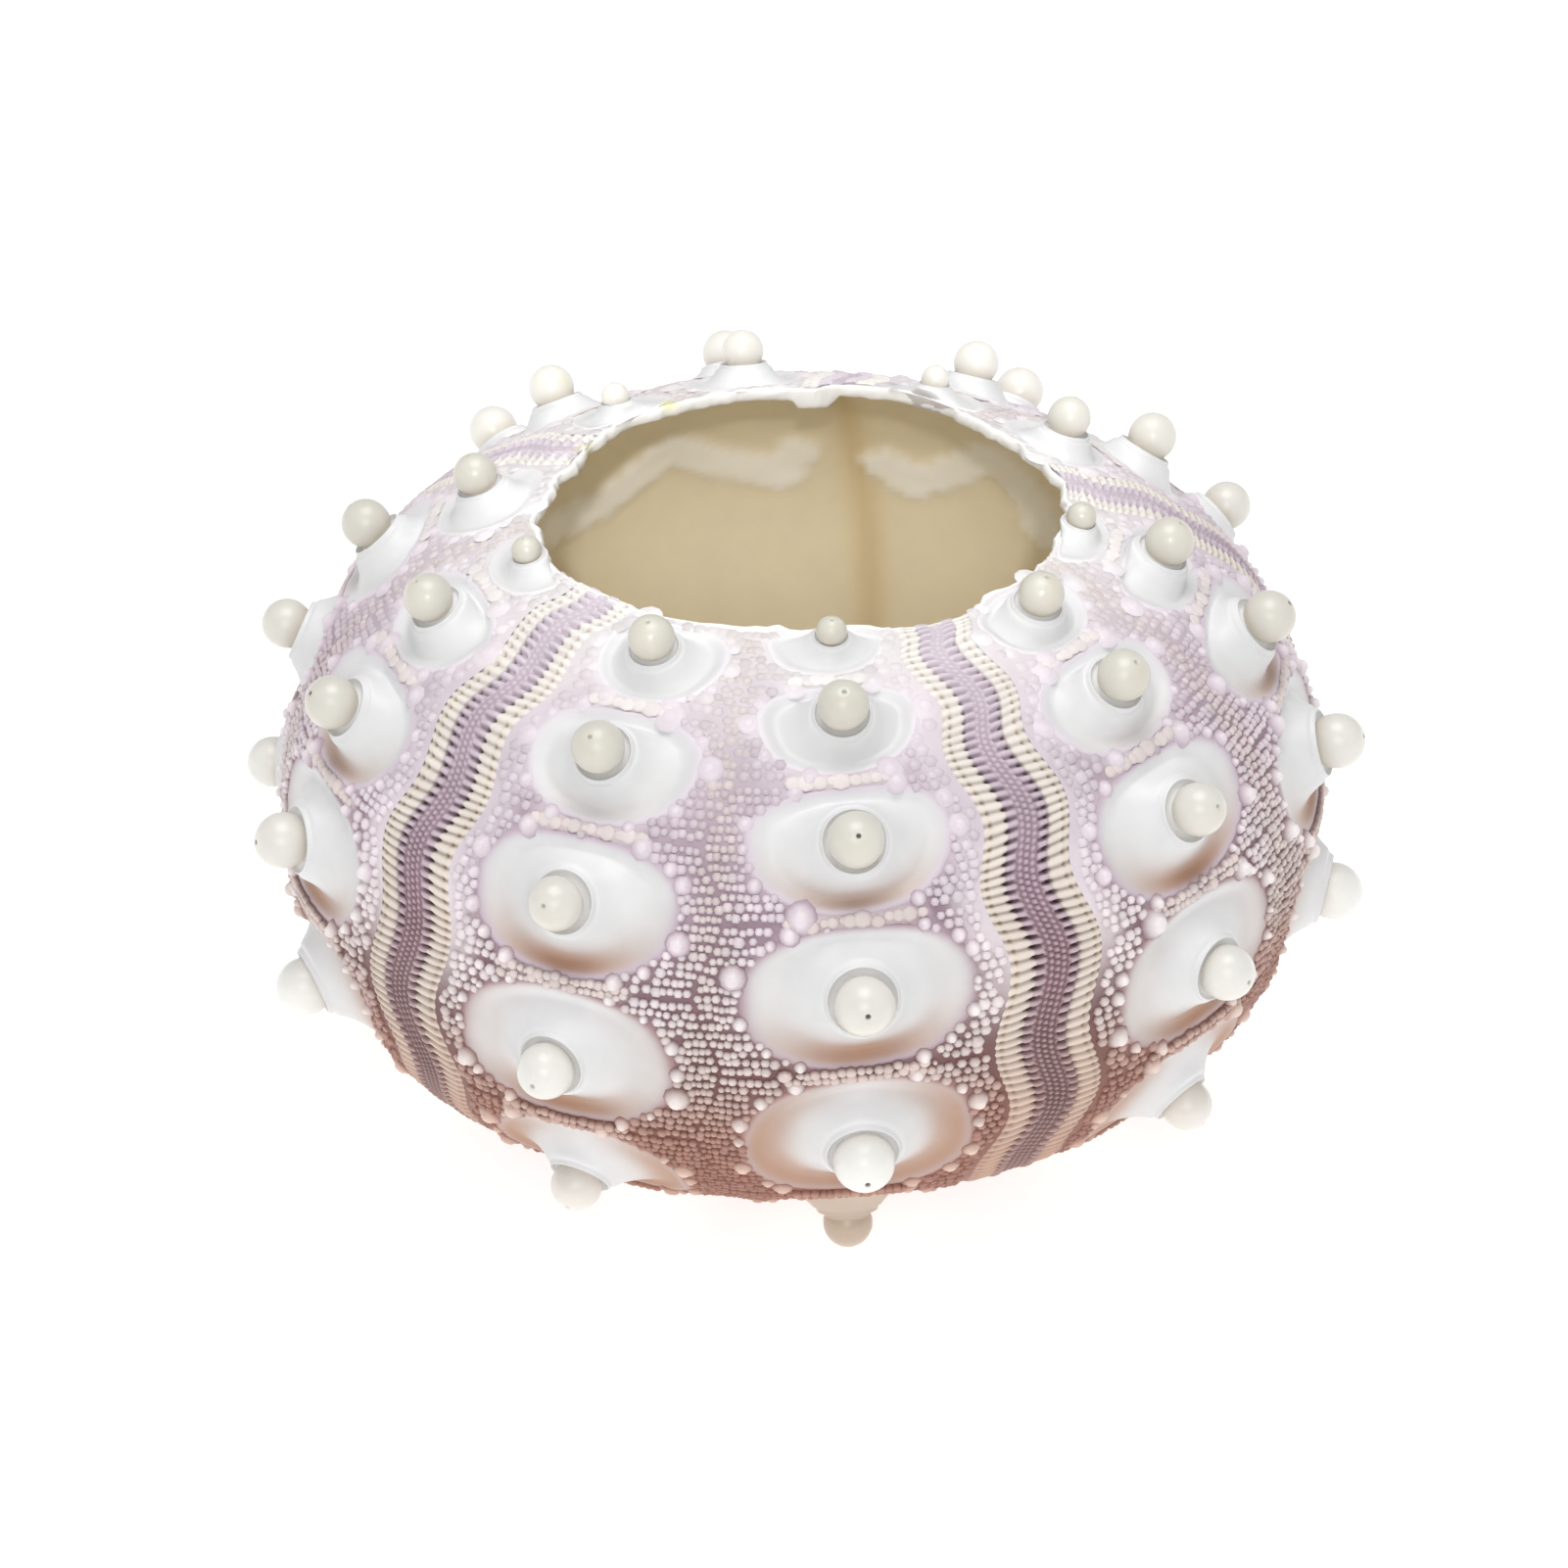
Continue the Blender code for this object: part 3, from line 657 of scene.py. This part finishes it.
def add_ground(piece, band_azimuth, bosses):
    """Ground between the grains, sunk under the basins."""
    depth = np.linspace(0.0, MOUTH_DEPTH, GROUND_ROWS)[:, None]
    left = band_edge(-1, 0.93, depth)
    right = band_edge(1, 0.93, depth)
    azimuth = left + (right - left) * np.linspace(0.0, 1.0, GROUND_COLUMNS)[None, :]
    depth = np.broadcast_to(depth, azimuth.shape)
    share = np.min([basin_share(boss, azimuth, depth) for boss in bosses], axis=0)
    across = azimuth * radius_at(depth)
    height = GROUND + (UNDER_BASIN - GROUND) * smooth((1.02 - share) / 0.14)
    height = height - FURROW_DEPTH * bell(across, 0.0, FURROW_WIDTH)
    ridge = np.zeros_like(across)
    for side in (-1, 1):
        column = [boss for boss in bosses if boss.side == side]
        middle = side * COLUMN_OFFSET * radius_at(depth)
        for upper, lower in zip(column, column[1:]):
            reach = 0.7 * min(upper.inner, lower.inner, upper.outer, lower.outer)
            along = bell(depth, (upper.depth + lower.depth) / 2, 0.42)
            ridge = np.maximum(ridge, along * window(across - middle, -reach, reach, 0.8))
    height = height + RIDGE_RISE * ridge
    near_basin = bell(gap_to_basins(bosses, azimuth, depth), 0.0, 0.7)
    colours = blend(by_depth(depth, CREVICE), by_depth(depth, AREOLE), 0.7 * near_basin)
    colours = blend(colours, by_depth(depth, GRAIN), 0.9 * beside_pores(azimuth, depth))
    colours = blend(colours, by_depth(depth, ROPE), ridge * smooth((30 - depth) / 6))
    points = on_wall(band_azimuth + azimuth, depth, height)
    piece.add(points, grid_triangles(GROUND_ROWS, GROUND_COLUMNS), colours)


def grain_size(depth):
    """Spacing of the rows of grains at a depth: widest at the crown."""
    return float(np.interp(depth, GRAIN_ROW_DEPTH, GRAIN_ROW_SPACING))


def grain_places(bosses):
    """Azimuth, depth and radius of the small grains, in rows on every plate."""
    grains = []
    for side in (-1, 1):
        centres = sorted(boss.depth for boss in bosses if boss.side == side)
        joins = [0.0] + [(a + b) / 2 for a, b in zip(centres, centres[1:])] + [MOUTH_DEPTH]
        for top, bottom in zip(joins, joins[1:]):
            rows = max(2, round((bottom - top - PLATE_GAP) / grain_size((top + bottom) / 2)))
            size = (bottom - top - PLATE_GAP) / rows
            for row in range(rows):
                depth = top + PLATE_GAP / 2 + size * (row + 0.5)
                radius = float(radius_at(depth))
                edge = abs(float(band_edge(side, 1.0, depth))) * radius
                place = size * (0.4 + 0.3 * RANDOM.random()) - side * 0.85 * float(swing_sign(depth))
                while place < edge - 0.25:
                    grow = 0.74 + 0.42 * np.clip(place / 5.5, 0, 1)
                    step = size * np.clip(grow * (1 + 0.18 * RANDOM.normal()), 0.55, 1.5)
                    width = GRAIN_SHARE * (step + size) * (1 + 0.09 * RANDOM.normal())
                    grains.append((side * place / radius, depth + 0.08 * size * RANDOM.normal(), width))
                    place += step
    return np.array(grains)


def basin_beads(bosses):
    """Azimuth, depth and radius of the beads beside the basins: large ones with smaller between."""
    beads = []
    for boss in bosses:
        if boss.ball < SMALL_BALL:
            continue
        for turn in (0.0, math.pi):
            pairs = max(1, round((boss.above + boss.below) / BEAD_PAIR_SPACING))
            for k in range(2 * pairs + 1):
                angle = turn - BEAD_SPREAD + BEAD_SPREAD * k / pairs + RANDOM.normal(0, 0.06)
                size = (LARGE_BEAD if k % 2 == 0 else SMALL_BEAD) * (1 + 0.20 * RANDOM.normal())
                away = 1.0 + (0.9 * size + 0.10) / min(boss.outer, boss.inner)
                offset, place = basin_place(boss, angle, away)
                beads.append((float(offset), float(place), size))
    return np.array(beads)


def rope_beads(bosses):
    """Azimuth, depth and radius of the beads on the ridges between the basins of a column."""
    beads = []
    for side in (-1, 1):
        column = [boss for boss in bosses if boss.side == side]
        for upper, lower in zip(column, column[1:]):
            join = (upper.depth + lower.depth) / 2
            radius = float(radius_at(join))
            inner = ROPE_REACH * min(upper.inner, lower.inner)
            outer = ROPE_REACH * min(upper.outer, lower.outer)
            middle = side * COLUMN_OFFSET * radius
            start = middle - (inner if side > 0 else outer)
            end = middle + (outer if side > 0 else inner)
            size, lanes = ROPE_ABOVE if join < ROPE_SPLIT else ROPE_BELOW
            for lane, offset in enumerate(lanes):
                place = start + 0.8 * size * lane
                while place < end:
                    width = size * (1 + 0.22 * RANDOM.normal())
                    beads.append((place / radius, join + offset + RANDOM.normal(0, 0.07), width))
                    place += ROPE_STEP * width
    return np.array(beads)


def inside_band(places):
    """The places that lie clear of both rims and of the ribs at both sides of their band."""
    azimuth, depth, size = places.T
    radius = radius_at(depth)
    keep = (depth > 0.3) & (depth < MOUTH_DEPTH - 0.4)
    keep &= (azimuth - band_edge(-1, 1.0, depth)) * radius > 0.4 * size
    keep &= (band_edge(1, 1.0, depth) - azimuth) * radius > 0.4 * size
    return places[keep]


def add_grains(piece, band_azimuth, bosses):
    """Grains of one band, with the beads beside its basins and on its ridges."""
    ropes = inside_band(rope_beads(bosses))
    beads = inside_band(basin_beads(bosses))
    beads = beads[gap_to_basins(bosses, beads[:, 0], beads[:, 1]) > 0.2]
    taken = np.vstack([ropes, beads])
    grains = inside_band(grain_places(bosses))
    grains = grains[gap_to_basins(bosses, grains[:, 0], grains[:, 1]) > 0.12]
    radius = radius_at(grains[:, 1])
    away = np.hypot((grains[:, None, 0] - taken[None, :, 0]) * radius[:, None],
                    grains[:, None, 1] - taken[None, :, 1])
    grains = grains[(away > taken[None, :, 2] + 0.5 * grains[:, None, 2]).all(axis=1)]

    azimuth, depth, size = grains.T
    across = azimuth * radius_at(depth)
    relief = np.interp(depth, RELIEF_DEPTH, RELIEF) * RANDOM.uniform(0.6, 1.2, len(depth))
    crest = by_depth(depth, GRAIN)
    crest = blend(crest, linear(MEDIAN), 0.6 * bell(across, 0.0, 1.5) * smooth((37 - depth) / 8))
    crest = crest * (1 + 0.05 * RANDOM.normal(size=(len(crest), 1)))
    pale = beside_pores(azimuth, depth)
    lilac = RANDOM.uniform(0, 0.5, len(depth)) * smooth((20 - depth) / 8) * (1 - pale)
    crest = blend(crest, by_depth(depth, CREVICE), lilac)
    foot = blend(by_depth(depth, CREVICE), crest, np.interp(depth, (0, 10, 16, 24), (0.75, 0.50, 0.2, 0.0)))
    foot = blend(foot, crest, 0.85 * pale)
    base = GROUND + 0.02 - FURROW_DEPTH * bell(across, 0.0, FURROW_WIDTH)
    add_domes(piece, GRAIN_DOME, (band_azimuth + azimuth, depth), base,
              (1.08 * size, size, (0.16 + 0.52 * size) * relief), foot, crest)

    azimuth, depth, size = beads.T
    relief = np.interp(depth, RELIEF_DEPTH, RELIEF)
    foot = blend(by_depth(depth, AREOLE), by_depth(depth, CREVICE), np.interp(depth, (14, 24), (0.1, 0.75)))
    foot = blend(foot, by_depth(depth, BEAD), 0.7 * beside_pores(azimuth, depth))
    add_domes(piece, KNOB_DOME, (band_azimuth + azimuth, depth), np.full(len(depth), GROUND),
              (size, size, (0.16 + 0.90 * size) * relief), foot, by_depth(depth, BEAD))

    azimuth, depth, size = ropes.T
    crest = by_depth(depth, ROPE) * (1 + 0.03 * RANDOM.normal(size=(len(depth), 1)))
    foot = blend(by_depth(depth, CREVICE), crest, np.interp(depth, (0, 14, 24, 29), (0.95, 0.85, 0.5, 0.0)))
    rise = np.interp(depth, (0, 12, 18, 24, 30), (0.03, 0.06, 0.13, 0.24, 0.34))
    add_domes(piece, BEAD_DOME, (band_azimuth + azimuth, depth), np.full(len(depth), GROUND + ROPE_LIFT),
              (1.15 * size, size, rise), foot, crest)


# Across a pore band, by depth: the edge of its core, the width of the knob row, and the reach of the
# pores and the place of the outer pores, all as shares of the band's reach
CORE_EDGE = ((0, 12, 22, 64), (0.46, 0.42, 0.43, 0.40))
KNOB_ROW_WIDTH = ((0, 12, 22, 64), (0.33, 0.27, 0.20, 0.17))
PORE_WIDTH = ((0, 8, 18, 26), (0.030, 0.036, 0.055, 0.075))
OUTER_PORE_PLACE = ((0, 8, 20, 64), (0.72, 0.74, 0.80, 0.84))

# Height across a pore band, by share of its reach, and the relief on it in millimetres
PORE_BAND_LEVEL = ((0, 0.20, 0.40, 0.50, 0.80, 0.90, 0.96, 1.0),
                   (-0.40, -0.38, -0.34, -0.32, -0.28, -0.34, -0.44, -0.62))
RIB_SKEW = 0.25
GROOVE_SINK = 0.17
PORE_SINK = 0.45
OUTER_PORE_SINK = 0.22
KNOB_RISE = 0.34
DOT_RISE = 0.18


def add_pores(piece, middle):
    """Ribs, pores, knobs and fine grains of one winding pore band."""
    ribs = round(MOUTH_DEPTH / RIB_SPACING)
    rows = ribs * RIB_STEPS + 1
    depth = np.linspace(0.0, MOUTH_DEPTH, rows)[:, None]
    s = np.linspace(-1.0, 1.0, PORE_COLUMNS)[None, :]
    reach = RIB_REACH * half_width_at(depth)
    u = s * reach
    s = np.abs(s)
    depth = depth + 0 * s
    azimuth = middle + (swing_at(depth) + u) / radius_at(depth)
    slope = (swing_at(depth + 0.3) - swing_at(depth - 0.3)) / 0.6
    phase = (depth - RIB_SKEW * slope * u) * ribs / MOUTH_DEPTH
    part = phase - np.floor(phase)

    core = np.interp(depth, *CORE_EDGE)
    fine_edge = core - np.interp(depth, *KNOB_ROW_WIDTH)
    groove = bell(part, 0.5, 0.19)
    rib_zone = smooth((s - core) / 0.05) * smooth((1.02 - s) / 0.10)
    knob_zone = smooth((s - fine_edge) / 0.06) * smooth((core + 0.01 - s) / 0.04)
    fine_zone = smooth((fine_edge + 0.03 - s) / 0.05)
    pore = bell(s, core, np.interp(depth, *PORE_WIDTH)) * bell(part, 0.5, 0.17)
    outer_at = np.interp(depth, *OUTER_PORE_PLACE)
    outer_pore = bell(s, outer_at, 0.032) * bell(part, 0.5, 0.20)
    knobs = smooth(0.62 + 0.62 * np.cos(2 * math.pi * phase))
    lane = s * reach / FINE_SPACING
    dots = np.abs(np.cos(math.pi * lane) * np.cos(math.pi * (1.5 * phase + 0.5 * np.floor(lane + 0.5))))
    dots = np.sqrt(dots)
    relief = np.interp(depth, RELIEF_DEPTH, RELIEF)

    height = np.interp(s, *PORE_BAND_LEVEL)
    height = height - GROOVE_SINK * groove * rib_zone - PORE_SINK * pore - OUTER_PORE_SINK * outer_pore
    height = height + KNOB_RISE * (knobs - 0.6) * knob_zone
    height = height + (DOT_RISE * dots - 0.08) * fine_zone * relief

    dark = by_depth(depth, PORE)
    core_colour = by_depth(depth, CORE)
    knob_colour = by_depth(depth, KNOB)
    fine_dark = np.interp(depth, (8, 20, 28), (0.15, 0.5, 0.6)) * (1 - dots)
    fine = blend(blend(core_colour, dark, fine_dark), knob_colour, 0.9 * dots ** 4)
    gap_dark = 0.75 * (1 - knobs) * np.interp(depth, (0, 9, 14, 22, 28), (0.16, 0.24, 0.42, 0.75, 1.0))
    knob = blend(blend(core_colour, dark, gap_dark), knob_colour, 0.9 * knobs)
    colours = blend(fine, knob, smooth((s - fine_edge) / 0.06))
    colours = blend(colours, by_depth(depth, RIB), smooth((s - core) / 0.05))
    fringe = 0.2 * bell(s, outer_at + 0.04, 0.07) * window(depth, 8.0, 32.0, 8.0)
    colours = blend(colours, linear(FRINGE), fringe)
    groove_dark = np.interp(depth, (0, 8, 18), (0.15, 0.32, 0.75))
    colours = blend(colours, linear(GROOVE), groove * rib_zone * groove_dark)
    colours = blend(colours, dark, np.clip(1.4 * pore, 0, 1))
    colours = blend(colours, linear(OUTER_PORE), np.clip(0.8 * outer_pore, 0, 1))
    colours = blend(colours, by_depth(depth, GRAIN), 0.8 * smooth((s - 0.88) / 0.10))
    piece.add(on_wall(azimuth, depth, height), grid_triangles(rows, PORE_COLUMNS), colours)


def noise_round(count, spacing, strength):
    """Uneven values round a ring of places, varying over the given number of places."""
    knots = max(3, count // spacing)
    values = RANDOM.normal(0, strength, knots)
    return np.interp(np.arange(count) * knots / count, np.arange(knots + 1), np.r_[values, values[0]])


def line_distance(degrees, depth, line):
    """Distance on the wall, in millimetres, from a line through places given in degrees and depth."""
    radius = radius_at(depth) * math.pi / 180
    best = np.full(degrees.shape, 99.0)
    for (start, top), (end, bottom) in zip(line, line[1:]):
        along = np.stack([(end - start) * radius, np.full(degrees.shape, bottom - top)])
        reach = np.stack([(degrees - start) * radius, depth - top])
        share = np.clip((along * reach).sum(axis=0) / (along ** 2).sum(axis=0), 0, 1)
        best = np.minimum(best, np.hypot(*(reach - share * along)))
    return best


# Rims, from the outer wall over the edge to the inner one: depth and height
RIM_PROFILE = ((0.55, -0.75), (0.22, -0.42), (0.04, -0.30), (-0.08, -0.40), (-0.15, -0.62), (-0.15, -0.85),
               (-0.10, -1.05), (0.02, -1.18), (0.25, -1.24))


def add_inside(piece):
    """Smooth inner wall with its paler lobes, and both rims."""
    azimuth = np.linspace(0, 2 * math.pi, INSIDE_COLUMNS, endpoint=False)[None, :]
    inner = np.r_[np.linspace(INSIDE_MARGIN, 11.0, 9), np.linspace(12.0, 31.5, 34),
                  np.linspace(33.0, MOUTH_DEPTH - INSIDE_MARGIN, 18)]
    from_rim = np.minimum(inner, MOUTH_DEPTH - inner)
    wall = WALL_AT_RIM + (WALL - WALL_AT_RIM) * np.minimum(1.0, from_rim / RIM_TAPER_DEPTH)
    rows = (list(RIM_PROFILE) + list(zip(inner, -wall))
            + [(MOUTH_DEPTH - depth, height) for depth, height in RIM_PROFILE[::-1]])
    depth = np.array([depth for depth, _ in rows])[:, None]
    height = np.array([height for _, height in rows])[:, None] + 0 * azimuth
    from_rim = np.minimum(depth, MOUTH_DEPTH - depth)

    rough = (noise_round(INSIDE_COLUMNS, 5, 0.18) + noise_round(INSIDE_COLUMNS, 2, 0.09))[None, :]
    lumps = RANDOM.normal(0, 0.03, height.shape)
    at_rim = smooth((0.5 - from_rim) / 0.4)
    height = height + 0.8 * at_rim * lumps
    degrees = np.degrees(azimuth)
    from_pores = (degrees - math.degrees(FIRST_BAND_AZIMUTH)) % 72 - 36
    ragged = 0.25 * np.sin(1.1 * degrees + 2.0 * depth) + 0.15 * np.sin(2.7 * degrees)
    lobe = np.zeros_like(height)
    for line in LOBES:
        for turn in (-72, 0, 72):
            away = line_distance(from_pores + 0 * depth, depth + 0 * azimuth, np.array(line) + (turn, 0))
            lobe = np.maximum(lobe, smooth((LOBE_HALF_WIDTH + ragged + 0.5 - away) / 1.3))
    seam = bell(from_pores, np.interp(depth, *zip(*SEAM)), SEAM_WIDTH) * smooth((depth - 3) / 3)
    tab = window(degrees, *TAB_AZIMUTH, 0.9) * window(depth, -1.0, TAB_DEPTH, 0.4) * (height < -0.8)
    height = height - LOBE_THICKNESS * lobe - TAB_THICKNESS * tab

    colours = np.broadcast_to(linear(INSIDE), height.shape + (3,))
    colours = blend(colours, linear(INSIDE_PALE), 0.9 * lobe)
    colours = blend(colours, linear(INSIDE_LINE), 0.6 * seam * (1 - lobe))
    colours = blend(colours, linear(RIM), np.maximum(smooth((1.1 - from_rim) / 0.9) + 0 * azimuth, tab))
    edge = np.where(depth > MOUTH_DEPTH / 2, -at_rim, at_rim)
    points = on_wall(azimuth, depth + edge * (rough + lumps), height)
    piece.add(points, grid_triangles(len(rows), INSIDE_COLUMNS, closed=True), colours)


def make_material(name, roughness, speckle, bump, bump_scale, coat=0.0):
    """Shell material: the tint of each point, mottled, with fine bumps."""
    material = bpy.data.materials.new(name)
    material.use_nodes = True
    nodes = material.node_tree.nodes
    links = material.node_tree.links
    shader = nodes["Principled BSDF"]
    tint = nodes.new("ShaderNodeAttribute")
    tint.attribute_name = "tint"
    place = nodes.new("ShaderNodeTexCoord")
    mottle = nodes.new("ShaderNodeTexNoise")
    mottle.inputs["Scale"].default_value = 420.0
    mottle.inputs["Detail"].default_value = 5.0
    links.new(place.outputs["Object"], mottle.inputs["Vector"])
    spread = nodes.new("ShaderNodeMapRange")
    spread.inputs["From Min"].default_value = 0.3
    spread.inputs["From Max"].default_value = 0.7
    spread.inputs["To Min"].default_value = 1.0 - speckle
    spread.inputs["To Max"].default_value = 1.0 + 0.4 * speckle
    links.new(mottle.outputs["Fac"], spread.inputs["Value"])
    scale = nodes.new("ShaderNodeVectorMath")
    scale.operation = "SCALE"
    links.new(tint.outputs["Color"], scale.inputs[0])
    links.new(spread.outputs["Result"], scale.inputs["Scale"])
    links.new(scale.outputs["Vector"], shader.inputs["Base Color"])
    grit = nodes.new("ShaderNodeTexNoise")
    grit.inputs["Scale"].default_value = bump_scale
    grit.inputs["Detail"].default_value = 3.0
    links.new(place.outputs["Object"], grit.inputs["Vector"])
    bumps = nodes.new("ShaderNodeBump")
    bumps.inputs["Strength"].default_value = bump
    bumps.inputs["Distance"].default_value = 0.0001
    links.new(grit.outputs["Fac"], bumps.inputs["Height"])
    links.new(bumps.outputs["Normal"], shader.inputs["Normal"])
    shader.inputs["Roughness"].default_value = roughness
    shader.inputs["Coat Weight"].default_value = coat
    shader.inputs["Coat Roughness"].default_value = 0.25
    return material


def add_area_light(name, place, target, size, power):
    data = bpy.data.lights.new(name, "AREA")
    data.shape = "DISK"
    data.size = size
    data.energy = power
    light = bpy.data.objects.new(name, data)
    bpy.context.scene.collection.objects.link(light)
    light.location = place
    light.rotation_mode = "QUATERNION"
    light.rotation_quaternion = (Vector(target) - Vector(place)).to_track_quat("-Z", "Y")


def add_spot_light(name, place, target, radius, angle, power):
    """A round soft beam, its full angle in degrees."""
    data = bpy.data.lights.new(name, "SPOT")
    data.shadow_soft_size = radius
    data.spot_size = math.radians(angle)
    data.spot_blend = 0.6
    data.energy = power
    light = bpy.data.objects.new(name, data)
    bpy.context.scene.collection.objects.link(light)
    light.location = place
    light.rotation_mode = "QUATERNION"
    light.rotation_quaternion = (Vector(target) - Vector(place)).to_track_quat("-Z", "Y")


def add_camera():
    data = bpy.data.cameras.new("camera")
    data.sensor_width = SENSOR_WIDTH
    data.lens = CAMERA_LENS
    data.clip_start = 0.01
    data.clip_end = 10.0
    camera = bpy.data.objects.new("camera", data)
    bpy.context.scene.collection.objects.link(camera)
    back = np.array([0.0, -math.cos(CAMERA_ELEVATION), math.sin(CAMERA_ELEVATION)])
    place = Vector((CAMERA_TARGET + CAMERA_DISTANCE * back) * MM)
    camera.matrix_world = (Matrix.Translation(place)
                           @ Matrix.Rotation(math.pi / 2 - CAMERA_ELEVATION, 4, "X")
                           @ Matrix.Rotation(CAMERA_ROLL, 4, "Z"))
    bpy.context.scene.camera = camera


def add_floor():
    mesh = bpy.data.meshes.new("floor")
    corners = [(x * FLOOR_REACH, y * FLOOR_REACH, 0) for x, y in ((-1, -1), (1, -1), (1, 1), (-1, 1))]
    mesh.from_pydata(corners, [], [(0, 1, 2, 3)])
    material = bpy.data.materials.new("pale_floor")
    material.use_nodes = True
    shader = material.node_tree.nodes["Principled BSDF"]
    shader.inputs["Base Color"].default_value = (*linear(FLOOR), 1.0)
    shader.inputs["Roughness"].default_value = 0.8
    shader.inputs["Specular IOR Level"].default_value = 0.2
    shader.inputs["Emission Color"].default_value = (1.0, 1.0, 1.0, 1.0)
    shader.inputs["Emission Strength"].default_value = FLOOR_GLOW
    mesh.materials.append(material)
    floor = bpy.data.objects.new("floor", mesh)
    bpy.context.scene.collection.objects.link(floor)


def build_stage():
    scene = bpy.context.scene
    add_camera()
    world = bpy.data.worlds.new("studio")
    world.use_nodes = True
    sky = world.node_tree.nodes["Background"]
    sky.inputs["Color"].default_value = (1.0, 1.0, 1.0, 1.0)
    sky.inputs["Strength"].default_value = SKY_STRENGTH
    scene.world = world
    scene.view_settings.view_transform = "Standard"
    add_area_light("key", place=(0.0, -0.03, 0.55), target=LIGHT_TARGET, size=0.40, power=1.50)
    add_area_light("front", place=(-0.02, -0.48, 0.30), target=LIGHT_TARGET, size=0.30, power=0.62)
    for name, x, power in OPENING_SPOTS:
        add_spot_light(f"into_the_opening_{name}", place=(x, -0.365, 0.27), target=(x, 0.0, 0.0425),
                       radius=0.012, angle=2.8, power=power)
    add_floor()


def main():
    dish_material = make_material("basin_calcite", roughness=0.45, speckle=0.05, bump=0.15,
                                  bump_scale=900.0, coat=0.05)
    ball_material = make_material("ball_calcite", roughness=0.30, speckle=0.05, bump=0.10,
                                  bump_scale=900.0, coat=0.25)
    grain_material = make_material("grain_calcite", roughness=0.45, speckle=0.08, bump=0.25,
                                   bump_scale=2500.0)
    pore_material = make_material("pore_band_calcite", roughness=0.48, speckle=0.08, bump=0.2,
                                  bump_scale=2500.0)
    inside_material = make_material("inside_calcite", roughness=0.50, speckle=0.03, bump=0.2,
                                    bump_scale=1200.0)
    for band in range(BANDS):
        azimuth = FIRST_BAND_AZIMUTH + 2 * math.pi * band / BANDS
        bosses = boss_list(band)
        dishes = Piece()
        balls = Piece()
        for boss in bosses:
            add_dish(dishes, azimuth, boss)
            add_ball(balls, azimuth, boss)
        dishes.build(f"basins_{band + 1}", dish_material)
        balls.build(f"balls_{band + 1}", ball_material)
        grains = Piece()
        add_ground(grains, azimuth, bosses)
        add_grains(grains, azimuth, bosses)
        grains.build(f"grains_{band + 1}", grain_material)
        pores = Piece()
        add_pores(pores, azimuth + math.pi / BANDS)
        pores.build(f"pore_band_{band + 1}", pore_material)
    inside = Piece()
    add_inside(inside)
    inside.build("inside", inside_material)
    build_stage()


main()
